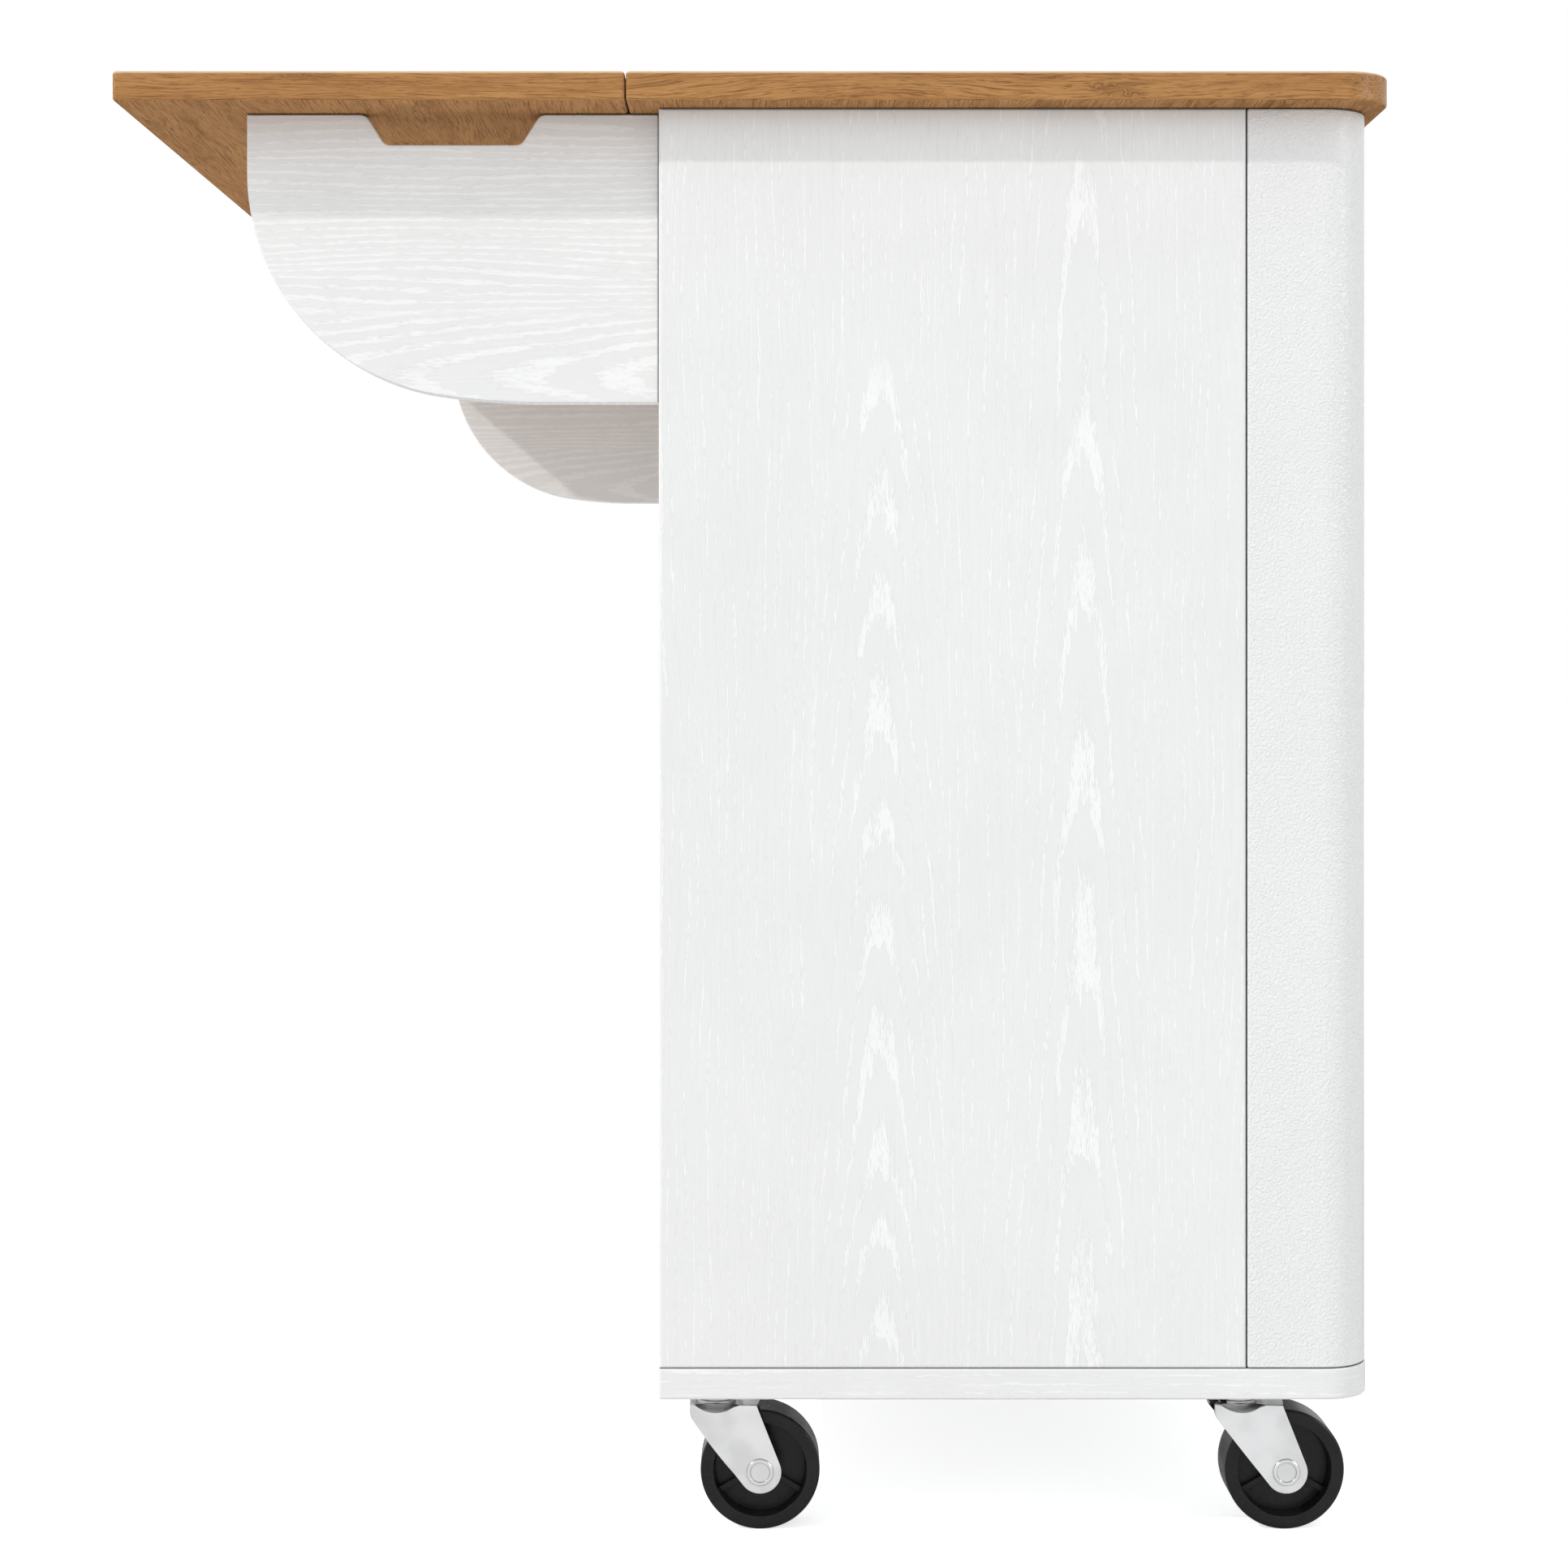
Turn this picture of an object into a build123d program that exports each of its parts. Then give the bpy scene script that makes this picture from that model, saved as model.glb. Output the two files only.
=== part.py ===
from build123d import *
import math
import os

# Kitchen island with a drop leaf, on four swivel casters.
# Millimetres, +Z up, floor at z = 0. The length runs along X, the doors face -Y and the
# drop leaf is on +Y. The "near" end is at -X. The origin is under the middle of the box.

# Worktop and drop leaf
total_height = 914.5
worktop_length = 1274.0
worktop_depth = 474.6
worktop_thickness = 18.5
worktop_corner_radius = 30.0
worktop_edge_radius = 2.0
leaf_width = 315.8
leaf_thickness = 18.5
leaf_corner_radius = 2.5
seam_gap = 0.8

# Body
end_overhang = 22.0
back_overhang = 19.4
front_overhang = 8.9
base_thickness = 19.5
base_edge_radius = 1.5
base_reveal = 0.7
panel_thickness = 16.0
panel_edge_radius = 2.0
back_thickness = 12.0
partition_thickness = 16.0
fit_gap = 0.3
cut_margin = 1.0
touch = 0.01

# Corner posts
post_side_width = 78.5
post_front_width = 60.0
post_wall = 16.0
post_corner_radius = 30.0
post_edge_radius = 1.6
post_end_radius = 1.4
post_seam = 0.5

# Front frame, doors and drawers
rail_thickness = 16.0
top_rail_height = 30.0
drawer_rail_height = 24.0
front_thickness = 16.0
front_edge_radius = 1.5
front_gap = 2.4
drawer_front_height = 150.0
drawer_side_thickness = 12.0
drawer_side_height = 105.0
drawer_length = 350.0
drawer_bottom_thickness = 4.0
drawer_groove_depth = 5.0
drawer_groove_height = 10.0
drawer_lift = 14.0
groove_clearance = 0.15

# Drawer runners
runner_space = 12.7
runner_height = 42.0
runner_wall = 1.2
runner_depth = 10.0
runner_overlap = 8.5
runner_clearance = 0.3
runner_setback = 4.0
batten_height = 48.0

# Shelves
shelf_thickness = 16.0
shelf_setback = 30.0
shelf_end_gap = 0.8
door_shelf_height = 285.0
centre_shelf_spacing = 262.0
shelf_pin_radius = 2.5
shelf_pin_reach = 8.0
shelf_pin_depth = 7.0
shelf_pin_inset = 37.0
pin_hole_clearance = 0.05

# Bar handles
handle_reach = 26.0
handle_bar_radius = 5.0
handle_post_radius = 4.0
handle_post_spacing = 96.0
handle_bar_length = 136.0
handle_end_chamfer = 1.0
handle_edge_inset = 30.0
handle_top_inset = 60.0

# Door hinges
hinge_plate_thickness = 1.0
hinge_plate_gap = 0.2
hinge_plate_width = 13.0
hinge_height = 50.0
hinge_inset = 75.0
barrel_radius = 2.6
barrel_clearance = 0.12
knuckle_gap = 0.3
hinge_pin_radius = 1.2
hinge_pin_clearance = 0.06

# Swing-out wings under the leaf
wing_inset = 41.5
wing_thickness = 16.0
wing_reach = 259.8
wing_height = 182.1
wing_side_radius = 142.0
wing_side_sweep = 81.7
wing_base_radius = 458.0
wing_edge_radius = 1.2
wing_root_gap = 0.6
wing_top_gap = 0.4
notch_top_width = 110.4
notch_bottom_width = 85.8
notch_depth = 19.4
notch_top_radius = 7.0
notch_bottom_radius = 6.0
wing_barrel_radius = 2.4
wing_barrel_offset = 1.6
wing_hinge_height = 42.0
wing_hinge_inset = 14.0
wing_plate_width = 22.0
mortise_clearance = 0.3

# Leaf hinges
leaf_plate_thickness = 1.2
leaf_plate_width = 16.5
leaf_hinge_length = 60.0
leaf_hinge_spacing = 250.0
leaf_barrel_radius = 2.4
leaf_barrel_drop = 1.3

# Casters
caster_height = 90.0
caster_end_inset = 47.0
caster_back_inset = 35.0
caster_front_inset = 78.5
plate_length = 66.0
plate_width = 62.0
plate_thickness = 2.5
plate_corner_radius = 6.0
plate_hole_radius = 3.1
plate_hole_spacing_x = 50.0
plate_hole_spacing_y = 46.0
race_outer_radius = 17.0
race_wall = 4.4
race_depth = 3.9
race_clearance = 0.4
king_pin_radius = 6.0
king_pin_head_radius = 9.0
king_pin_head_height = 2.6
king_pin_head_chamfer = 1.0
king_pin_clearance = 0.06
sheet_thickness = 2.2
head_radius = 25.0
head_top = 80.4
scoop_drop = 4.4
scoop_inset = 8.0
scoop_half_width = 20.0
scoop_fill_start = 15.5
scoop_fill_end = 14.0
leg_outer_offset = 22.2
caster_trail = 28.1
fork_front_reach = 16.5
fork_rear_reach = 25.7
fork_rear_bulge = 2.4
fork_shoulder_drop = 7.8
fork_end_radius = 13.4
fork_bend_radius = 1.0
fork_crease_radius = 3.0
wheel_radius = 37.85
wheel_width = 32.4
wheel_shoulder_radius = 2.0
wheel_ring_radius = 29.7
wheel_web_radius = 28.5
wheel_web_thickness = 9.0
wheel_rib_setback = 7.8
wheel_rib_width = 3.6
wheel_rib_count = 3
wheel_rib_start = 270.0
wheel_hub_radius = 9.5
axle_radius = 4.0
axle_clearance = 0.08
rivet_head_radius = 8.4
rivet_head_height = 1.1
rivet_head_chamfer = 0.5
rivet_cup_radius = 6.3
rivet_cup_depth = 0.7

# Brake pedals on the two front casters
pedal_pivot_x = -4.0
pedal_pivot_z = 66.0
pedal_hub_radius = 4.2
pedal_shoe_radius = 2.0
pedal_shoe_clearance = 0.35
pedal_range = 15.0
pedal_width = 29.2
pedal_arm_width = 2.6
pedal_thickness = 2.6
pedal_tab_reach = 42.0
pedal_tab_gap = 3.0
pedal_bend_reach = 6.6
pedal_slot_rise = 1.0
pedal_trunnion_radius = 2.5
pedal_trunnion_bite = 1.0
pedal_trunnion_clearance = 0.08
pedal_notch_depth = 4.2

# Heights that follow from the sizes above
worktop_underside = total_height - worktop_thickness
leaf_underside = total_height - leaf_thickness
base_top = caster_height + base_thickness
body_height = worktop_underside - base_top
top_rail_bottom = worktop_underside - top_rail_height
drawer_front_top = top_rail_bottom - front_gap
drawer_front_bottom = drawer_front_top - drawer_front_height
drawer_rail_top = drawer_front_bottom - front_gap
drawer_rail_bottom = drawer_rail_top - drawer_rail_height
door_top = drawer_rail_bottom - front_gap
door_bottom = base_top + front_gap
door_height = door_top - door_bottom
drawer_side_bottom = drawer_front_bottom + drawer_lift
runner_middle = drawer_side_bottom + drawer_side_height / 2

# Places along Y that follow from the sizes above
body_depth = worktop_depth - back_overhang - front_overhang
leaf_back_reach = back_overhang + seam_gap + leaf_width
handle_front_reach = body_depth - base_reveal + handle_reach
worktop_front_reach = body_depth + front_overhang
body_back = (max(handle_front_reach, worktop_front_reach) - leaf_back_reach) / 2
base_front = body_back - body_depth
frame_front = base_front + base_reveal
frame_back = frame_front + rail_thickness
front_back = frame_front + front_thickness
back_inside = body_back - back_thickness
worktop_back = body_back + back_overhang
worktop_front = base_front - front_overhang
seam_middle = worktop_back + seam_gap / 2
leaf_edge = worktop_back + seam_gap
leaf_outer = leaf_edge + leaf_width
panel_front = frame_front + post_side_width + post_seam
post_inner_radius = max(post_corner_radius - post_wall, 1.0)
shelf_front = front_back + shelf_setback

# Places along X that follow from the sizes above, all at the near end
body_end = -(worktop_length / 2 - end_overhang)
panel_inside = body_end + panel_thickness
post_inside = body_end + post_front_width
front_opening = -2 * post_inside
bay_width = (front_opening - 2 * partition_thickness) / 3
partition_inside = -bay_width / 2
partition_outside = partition_inside - partition_thickness
bay_middle = (post_inside + partition_outside) / 2
front_width = bay_width - 2 * front_gap


def block(x0, x1, y0, y1, z0, z1):
    """A box between three pairs of limits."""
    middle = ((x0 + x1) / 2, (y0 + y1) / 2, (z0 + z1) / 2)
    return Pos(*middle) * Box(abs(x1 - x0), abs(y1 - y0), abs(z1 - z0))


def pillar(x, y, z0, z1, radius):
    """An upright cylinder between two heights."""
    return Pos(x, y, (z0 + z1) / 2) * Cylinder(radius, z1 - z0)


def rounded_prism(points, radii, height):
    """An upright prism on a closed outline whose corners have their own radii."""
    outline = FilletPolyline(*points, radius=radii, close=True)
    return extrude(make_face(outline), amount=height)


def edges_in_plane(solid, axis, place):
    """The edges that lie in one plane square to an axis."""
    return solid.edges().filter_by_position(axis, place - touch, place + touch)


def far_copy(solid):
    """The mirror image of a near-end piece, at the far end."""
    return mirror(solid, about=Plane.YZ)


def eased_board(x_span, y_span, z_span, corner_radii, edge_radius):
    """A flat board with rounded plan corners and eased upper and lower edges."""
    x0, x1 = x_span
    y0, y1 = y_span
    z0, z1 = z_span
    points = [(x0, y0), (x1, y0), (x1, y1), (x0, y1)]
    board = Pos(0, 0, z0) * rounded_prism(points, corner_radii, z1 - z0)
    rims = edges_in_plane(board, Axis.Z, z0) + edges_in_plane(board, Axis.Z, z1)
    return fillet(rims, edge_radius)


def leaf_hinge_places():
    return [-leaf_hinge_spacing, 0.0, leaf_hinge_spacing]


def leaf_hinge_grooves():
    """The rounded grooves that let the leaf hinge barrels into both boards."""
    height = leaf_underside - leaf_barrel_drop
    radius = leaf_barrel_radius + mortise_clearance
    length = leaf_hinge_length + 2 * mortise_clearance
    barrel = Rot(0, 90, 0) * Cylinder(radius, length)
    return [Pos(x, seam_middle, height) * barrel for x in leaf_hinge_places()]


def make_worktop():
    half = worktop_length / 2
    back_radius = worktop_edge_radius
    radii = [worktop_corner_radius, worktop_corner_radius, back_radius, back_radius]
    x_span = (-half, half)
    y_span = (worktop_front, worktop_back)
    z_span = (worktop_underside, total_height)
    board = eased_board(x_span, y_span, z_span, radii, worktop_edge_radius)
    return board - leaf_hinge_grooves()


def make_drop_leaf():
    half = worktop_length / 2
    radii = [leaf_corner_radius] * 4
    x_span = (-half, half)
    y_span = (leaf_edge, leaf_outer)
    z_span = (leaf_underside, total_height)
    board = eased_board(x_span, y_span, z_span, radii, worktop_edge_radius)
    return board - leaf_hinge_grooves()


def make_base_board():
    back_radius = base_edge_radius
    radii = [post_corner_radius, post_corner_radius, back_radius, back_radius]
    x_span = (body_end, -body_end)
    y_span = (base_front, body_back)
    z_span = (caster_height, base_top)
    return eased_board(x_span, y_span, z_span, radii, base_edge_radius)


def make_end_panel():
    """The near end panel, eased round its outer face and bored for the shelf pins."""
    panel = block(body_end, panel_inside, panel_front, body_back, base_top, worktop_underside)
    panel = fillet(edges_in_plane(panel, Axis.X, body_end), panel_edge_radius)
    return panel - pin_holes(panel_inside, -1, [door_shelf_height])


def make_corner_post():
    """The near front post: an angle section with a big outer radius."""
    side_end = frame_front + post_side_width
    points = [
        (body_end, side_end),
        (body_end, frame_front),
        (post_inside, frame_front),
        (post_inside, frame_front + post_wall),
        (body_end + post_wall, frame_front + post_wall),
        (body_end + post_wall, side_end),
    ]
    edge = post_edge_radius
    radii = [edge, post_corner_radius, edge, edge, post_inner_radius, edge]
    height = body_height - 2 * fit_gap
    post = Pos(0, 0, base_top + fit_gap) * rounded_prism(points, radii, height)
    return ease_post_ends(post)


def ease_post_ends(post):
    """Rounds the outer rim at the top and the bottom of the post."""
    rims = []
    for end in (base_top + fit_gap, worktop_underside - fit_gap):
        for edge in edges_in_plane(post, Axis.Z, end):
            middle = edge.center()
            on_side = middle.X < body_end + touch
            on_front = middle.Y < frame_front + touch
            on_corner = edge.geom_type == GeomType.CIRCLE and edge.radius > post_corner_radius - touch
            if on_side or on_front or on_corner:
                rims.append(edge)
    return fillet(rims, post_end_radius)


def wing_hinge_spans():
    """The lower end of each hinge on a wing."""
    wing_top = leaf_underside - wing_top_gap
    upper = wing_top - wing_hinge_inset - wing_hinge_height
    lower = wing_top - wing_height + wing_hinge_inset
    return [lower, upper]


def wing_axis():
    """Where the near wing's upright pivot line stands."""
    inner_face = -worktop_length / 2 + wing_inset + wing_thickness
    return inner_face + wing_barrel_offset, body_back + wing_barrel_offset


def wing_mortises():
    """The grooves for the near wing's hinge barrels."""
    x, y = wing_axis()
    radius = wing_barrel_radius + mortise_clearance
    gap = mortise_clearance
    return [pillar(x, y, z - gap, z + wing_hinge_height + gap, radius) for z in wing_hinge_spans()]


def make_back_panel():
    end = panel_inside + fit_gap
    panel = block(end, -end, back_inside, body_back, base_top, worktop_underside - fit_gap)
    near_grooves = wing_mortises()
    far_grooves = [far_copy(groove) for groove in near_grooves]
    return panel - near_grooves - far_grooves


def make_partition():
    """The near partition, notched for the top rail and bored for pins on both sides."""
    back = back_inside - fit_gap
    board = block(partition_outside, partition_inside, frame_front, back, base_top, worktop_underside)
    notch = block(
        partition_outside - cut_margin,
        partition_inside + cut_margin,
        frame_front - cut_margin,
        frame_back + fit_gap,
        top_rail_bottom - fit_gap,
        worktop_underside + cut_margin,
    )
    outer_holes = pin_holes(partition_outside, 1, [door_shelf_height])
    inner_holes = pin_holes(partition_inside, -1, centre_shelf_heights())
    return board - notch - outer_holes - inner_holes


def make_top_rail():
    end = post_inside + fit_gap
    return block(end, -end, frame_front, frame_back, top_rail_bottom, worktop_underside - fit_gap)


def make_drawer_rail():
    return block(
        post_inside + fit_gap,
        partition_outside - fit_gap,
        frame_front,
        frame_back,
        drawer_rail_bottom,
        drawer_rail_top,
    )


def centre_shelf_heights():
    """How far the two centre shelves lie above the base."""
    return [centre_shelf_spacing, 2 * centre_shelf_spacing]


def make_shelf(x0, x1, rise):
    left = x0 + shelf_end_gap
    right = x1 - shelf_end_gap
    z0 = base_top + rise
    return block(left, right, shelf_front, back_inside - fit_gap, z0, z0 + shelf_thickness)


def pin_places():
    return [shelf_front + shelf_pin_inset, back_inside - shelf_pin_inset]


def pin_row(wall_x, toward_wall, rise, radius, start, length):
    """Cylinders along X at the two pin places of one wall."""
    z = base_top + rise - shelf_pin_radius
    x = wall_x + toward_wall * (start + length / 2)
    rod = Rot(0, 90, 0) * Cylinder(radius, length)
    return [Pos(x, y, z) * rod for y in pin_places()]


def pin_holes(wall_x, toward_wall, rises):
    holes = []
    radius = shelf_pin_radius + pin_hole_clearance
    for rise in rises:
        holes += pin_row(wall_x, toward_wall, rise, radius, 0, shelf_pin_depth + fit_gap)
    return holes


def make_shelf_pins():
    """All the shelf pins: four under each shelf."""
    pins = []
    length = shelf_pin_reach + shelf_pin_depth
    walls = [(panel_inside, -1, [door_shelf_height])]
    walls.append((partition_outside, 1, [door_shelf_height]))
    walls.append((partition_inside, -1, centre_shelf_heights()))
    for wall_x, toward_wall, rises in walls:
        for rise in rises:
            pins += pin_row(wall_x, toward_wall, rise, shelf_pin_radius, -shelf_pin_reach, length)
    return Compound(pins + [far_copy(pin) for pin in pins])


def make_runner_batten():
    """The near batten that brings the end panel's runner into line with the opening."""
    return block(
        panel_inside,
        post_inside,
        front_back + post_inner_radius + fit_gap,
        front_back + drawer_length,
        runner_middle - batten_height / 2,
        runner_middle + batten_height / 2,
    )


def channel(x_web, x_open, y0, y1, half_height, wall):
    """A C-shaped runner member with its web on one side and its flanges reaching to the other."""
    side = 1 if x_open > x_web else -1
    outer = block(x_web, x_open, y0, y1, runner_middle - half_height, runner_middle + half_height)
    inner_half = half_height - wall
    hollow = block(
        x_web + side * wall,
        x_open + side * cut_margin,
        y0 - cut_margin,
        y1 + cut_margin,
        runner_middle - inner_half,
        runner_middle + inner_half,
    )
    return outer - hollow


def runner_limits():
    return front_back + runner_setback, front_back + drawer_length


def make_runner_rails():
    """The fixed runner members of both drawers."""
    y0, y1 = runner_limits()
    rails = []
    for wall, side in ((post_inside, 1), (partition_outside, -1)):
        rails.append(channel(wall, wall + side * runner_depth, y0, y1, runner_height / 2, runner_wall))
    return Compound(rails + [far_copy(rail) for rail in rails])


def make_drawer_runners():
    """The two runner members that ride on the near drawer."""
    y0, y1 = runner_limits()
    half_height = runner_height / 2 - runner_wall - runner_clearance
    members = []
    for wall, side in ((post_inside, 1), (partition_outside, -1)):
        web = wall + side * runner_space
        tip = web - side * (runner_overlap + runner_wall)
        members.append(channel(web, tip, y0, y1, half_height, runner_wall))
    return Compound(members)


def drawer_side_limits():
    """The outer faces of the near drawer's two sides."""
    return post_inside + runner_space, partition_outside - runner_space


def bottom_panel(clearance):
    """The near drawer's bottom panel, or its groove when a clearance is given."""
    left, right = drawer_side_limits()
    bite = drawer_side_thickness - drawer_groove_depth
    z0 = drawer_side_bottom + drawer_groove_height
    return block(
        left + bite - clearance,
        right - bite + clearance,
        front_back + fit_gap - clearance,
        front_back + drawer_length - fit_gap + clearance,
        z0 - clearance,
        z0 + drawer_bottom_thickness + clearance,
    )


def make_drawer_side(outer_face, side):
    """One long side of the near drawer, grooved for the bottom."""
    board = block(
        outer_face,
        outer_face + side * drawer_side_thickness,
        front_back,
        front_back + drawer_length,
        drawer_side_bottom,
        drawer_side_bottom + drawer_side_height,
    )
    return board - bottom_panel(groove_clearance)


def make_drawer_back():
    """The back of the near drawer stands on the bottom panel."""
    left, right = drawer_side_limits()
    return block(
        left + drawer_side_thickness + fit_gap,
        right - drawer_side_thickness - fit_gap,
        front_back + drawer_length - drawer_side_thickness,
        front_back + drawer_length,
        drawer_side_bottom + drawer_groove_height + drawer_bottom_thickness + groove_clearance,
        drawer_side_bottom + drawer_side_height,
    )


def eased_front(z0, z1):
    """A door or a drawer front with its front edges eased."""
    x0 = post_inside + front_gap
    panel = block(x0, x0 + front_width, frame_front, front_back, z0, z1)
    return fillet(edges_in_plane(panel, Axis.Y, frame_front), front_edge_radius)


def make_door():
    return eased_front(door_bottom, door_top)


def make_drawer_front():
    return eased_front(drawer_front_bottom, drawer_front_top)


def bar_handle():
    """A bar handle along X with its feet on the XZ plane, reaching toward -Y."""
    bar_y = -(handle_reach - handle_bar_radius)
    bar = Pos(0, bar_y, 0) * Rot(0, 90, 0) * Cylinder(handle_bar_radius, handle_bar_length)
    bar = chamfer(bar.edges().filter_by(GeomType.CIRCLE), handle_end_chamfer)
    for side in (-1, 1):
        x = side * handle_post_spacing / 2
        bar += Pos(x, bar_y / 2, 0) * Rot(90, 0, 0) * Cylinder(handle_post_radius, -bar_y)
    return bar


def make_drawer_handle():
    return Pos(bay_middle, frame_front, (drawer_front_bottom + drawer_front_top) / 2) * bar_handle()


def make_door_handle():
    free_edge = post_inside + front_gap + front_width
    z = door_top - handle_top_inset - handle_bar_length / 2
    return Pos(free_edge - handle_edge_inset, frame_front, z) * Rot(0, 90, 0) * bar_handle()


def knuckle_spans(height, moving):
    """The parts of a hinge's height that the fixed or the moving half's knuckles take."""
    third = height / 3
    if moving:
        return [(third + knuckle_gap / 2, 2 * third - knuckle_gap / 2)]
    return [(0, third - knuckle_gap / 2), (2 * third + knuckle_gap / 2, height)]


def hinge_half(height, moving, radius, width, plate_from, plate_to):
    """Half a butt hinge on the Z axis, its plate reaching along +X between two offsets in Y."""
    plate = block(0, width, plate_from, plate_to, 0, height)
    other_spans = knuckle_spans(height, not moving)
    for low, high in other_spans:
        low_end = low - knuckle_gap
        high_end = high + knuckle_gap
        plate -= pillar(0, 0, low_end, high_end, radius + knuckle_gap)
    half = plate
    for low, high in knuckle_spans(height, moving):
        half += pillar(0, 0, low, high, radius)
    if moving:
        bore = hinge_pin_radius + hinge_pin_clearance
        return half - pillar(0, 0, -cut_margin, height + cut_margin, bore)
    return half + pillar(0, 0, 0, height, hinge_pin_radius)


def door_axis():
    """Where the near door's upright pivot line stands."""
    half_gap = front_gap / 2
    room = barrel_radius + barrel_clearance
    return post_inside + half_gap, frame_front - math.sqrt(room**2 - half_gap**2)


def door_hinge_heights():
    return [door_bottom + hinge_inset, door_top - hinge_inset - hinge_height]


def make_door_hinge_halves(moving):
    """The fixed or the moving halves of the near door's two hinges."""
    near_face = hinge_plate_gap
    far_face = hinge_plate_gap + hinge_plate_thickness
    x, y = door_axis()
    width = hinge_plate_width + frame_front - y
    offsets = (-far_face, -near_face) if moving else (near_face, far_face)
    half = hinge_half(hinge_height, moving, barrel_radius, width, *offsets)
    return [Pos(x, y, z) * Rot(0, 0, 90) * half for z in door_hinge_heights()]


def make_door_hinge_plates():
    near = make_door_hinge_halves(False)
    return Compound(near + [far_copy(half) for half in near])


def notch_outline(top):
    """The finger notch in a wing's upper edge, with rounded mouth and floor."""
    middle = wing_reach / 2
    mouth = notch_top_width / 2
    floor = notch_bottom_width / 2
    mouth_end = mouth + 2 * notch_top_radius
    over = 2 * notch_top_radius
    points = [
        (middle - mouth_end, top),
        (middle - mouth, top),
        (middle - floor, top - notch_depth),
        (middle + floor, top - notch_depth),
        (middle + mouth, top),
        (middle + mouth_end, top),
        (middle + mouth_end, top + over),
        (middle - mouth_end, top + over),
    ]
    top_r = notch_top_radius
    floor_r = notch_bottom_radius
    radii = [0, top_r, floor_r, floor_r, top_r, 0, 0, 0]
    return make_face(FilletPolyline(*points, radius=radii, close=True))


def wing_face():
    """The D-shaped wing seen from its end: its root on the Y axis, its top at height zero."""
    sweep = math.radians(wing_side_sweep)
    side_r = wing_side_radius
    base_r = wing_base_radius
    drop = side_r * math.sin(sweep) + base_r * (1 - math.sin(sweep))
    arc_top = -(wing_height - drop)
    side_centre = (wing_reach - side_r, arc_top)
    base_centre_x = side_centre[0] + (side_r - base_r) * math.cos(sweep)
    base_centre_y = side_centre[1] - (side_r - base_r) * math.sin(sweep)

    def on_arc(centre, radius, angle):
        return centre[0] + radius * math.cos(angle), centre[1] - radius * math.sin(angle)

    base_centre = (base_centre_x, base_centre_y)
    join = on_arc(side_centre, side_r, sweep)
    side_middle = on_arc(side_centre, side_r, sweep / 2)
    base_middle = on_arc(base_centre, base_r, (sweep + math.pi / 2) / 2)
    base_end = (base_centre_x, -wing_height)
    outline = Polyline((0, -wing_height), (0, 0), (wing_reach, 0), (wing_reach, arc_top))
    outline += ThreePointArc((wing_reach, arc_top), side_middle, join)
    outline += ThreePointArc(join, base_middle, base_end)
    outline += Line(base_end, (0, -wing_height))
    return make_face(outline) - notch_outline(0)


def make_wing():
    """The near wing, swung out square to the back."""
    outer_face = -worktop_length / 2 + wing_inset
    wing = extrude(wing_face(), amount=wing_thickness)
    rims = edges_in_plane(wing, Axis.Z, 0) + edges_in_plane(wing, Axis.Z, wing_thickness)
    wing = fillet(rims, wing_edge_radius)
    stand = Plane(origin=(0, 0, 0), x_dir=(0, 1, 0), z_dir=(1, 0, 0))
    wing = Pos(outer_face, body_back + wing_root_gap, leaf_underside - wing_top_gap) * (stand * wing)
    return wing - wing_mortises()


def make_wing_hinge_halves(moving):
    """The fixed or the moving halves of the near wing's two hinges."""
    x, y = wing_axis()
    offset = wing_barrel_offset
    inner = offset - hinge_plate_thickness
    if moving:
        half = hinge_half(wing_hinge_height, True, wing_barrel_radius, wing_plate_width, inner, offset)
        turn = 90
    else:
        half = hinge_half(wing_hinge_height, False, wing_barrel_radius, wing_plate_width, -offset, -inner)
        turn = 0
    return [Pos(x, y, z) * Rot(0, 0, turn) * half for z in wing_hinge_spans()]


def make_wing_hinge_plates():
    near = make_wing_hinge_halves(False)
    return Compound(near + [far_copy(half) for half in near])


def make_leaf_hinge_halves(moving):
    """The fixed or the moving halves of the three hinges under the seam."""
    drop = leaf_barrel_drop
    inner = drop - leaf_plate_thickness
    length = leaf_hinge_length
    half = hinge_half(length, moving, leaf_barrel_radius, leaf_plate_width, inner, drop)
    height = leaf_underside - drop
    halves = []
    toward = 1 if moving else -1
    for x in leaf_hinge_places():
        origin = (x - toward * length / 2, seam_middle, height)
        frame = Plane(origin=origin, x_dir=(0, toward, 0), z_dir=(toward, 0, 0))
        halves.append(frame * half)
    return Compound(halves)


def caster_spots():
    """Names and swivel axes of the near casters."""
    x = body_end + caster_end_inset
    return {
        "back": (x, body_back - caster_back_inset),
        "front": (x, base_front + caster_front_inset),
    }


def make_caster_plate():
    """Top plate with ball race and king pin, on the Z axis."""
    top = caster_height
    under = top - plate_thickness
    plate = Pos(0, 0, (top + under) / 2) * Box(plate_length, plate_width, plate_thickness)
    plate = fillet(plate.edges().filter_by(Axis.Z), plate_corner_radius)
    for x in (-plate_hole_spacing_x / 2, plate_hole_spacing_x / 2):
        for y in (-plate_hole_spacing_y / 2, plate_hole_spacing_y / 2):
            plate -= pillar(x, y, under - cut_margin, top + cut_margin, plate_hole_radius)
    race = pillar(0, 0, under - race_depth, under, race_outer_radius)
    race -= pillar(0, 0, under - race_depth - cut_margin, under, race_outer_radius - race_wall)
    crown_underside = head_top - sheet_thickness
    head_upper = crown_underside - fit_gap
    head_lower = head_upper - king_pin_head_height
    pin = pillar(0, 0, head_upper, under, king_pin_radius)
    head = pillar(0, 0, head_lower, head_upper, king_pin_head_radius)
    head = chamfer(head.edges().group_by(Axis.Z)[0], king_pin_head_chamfer)
    return plate + race + pin + head


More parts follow.
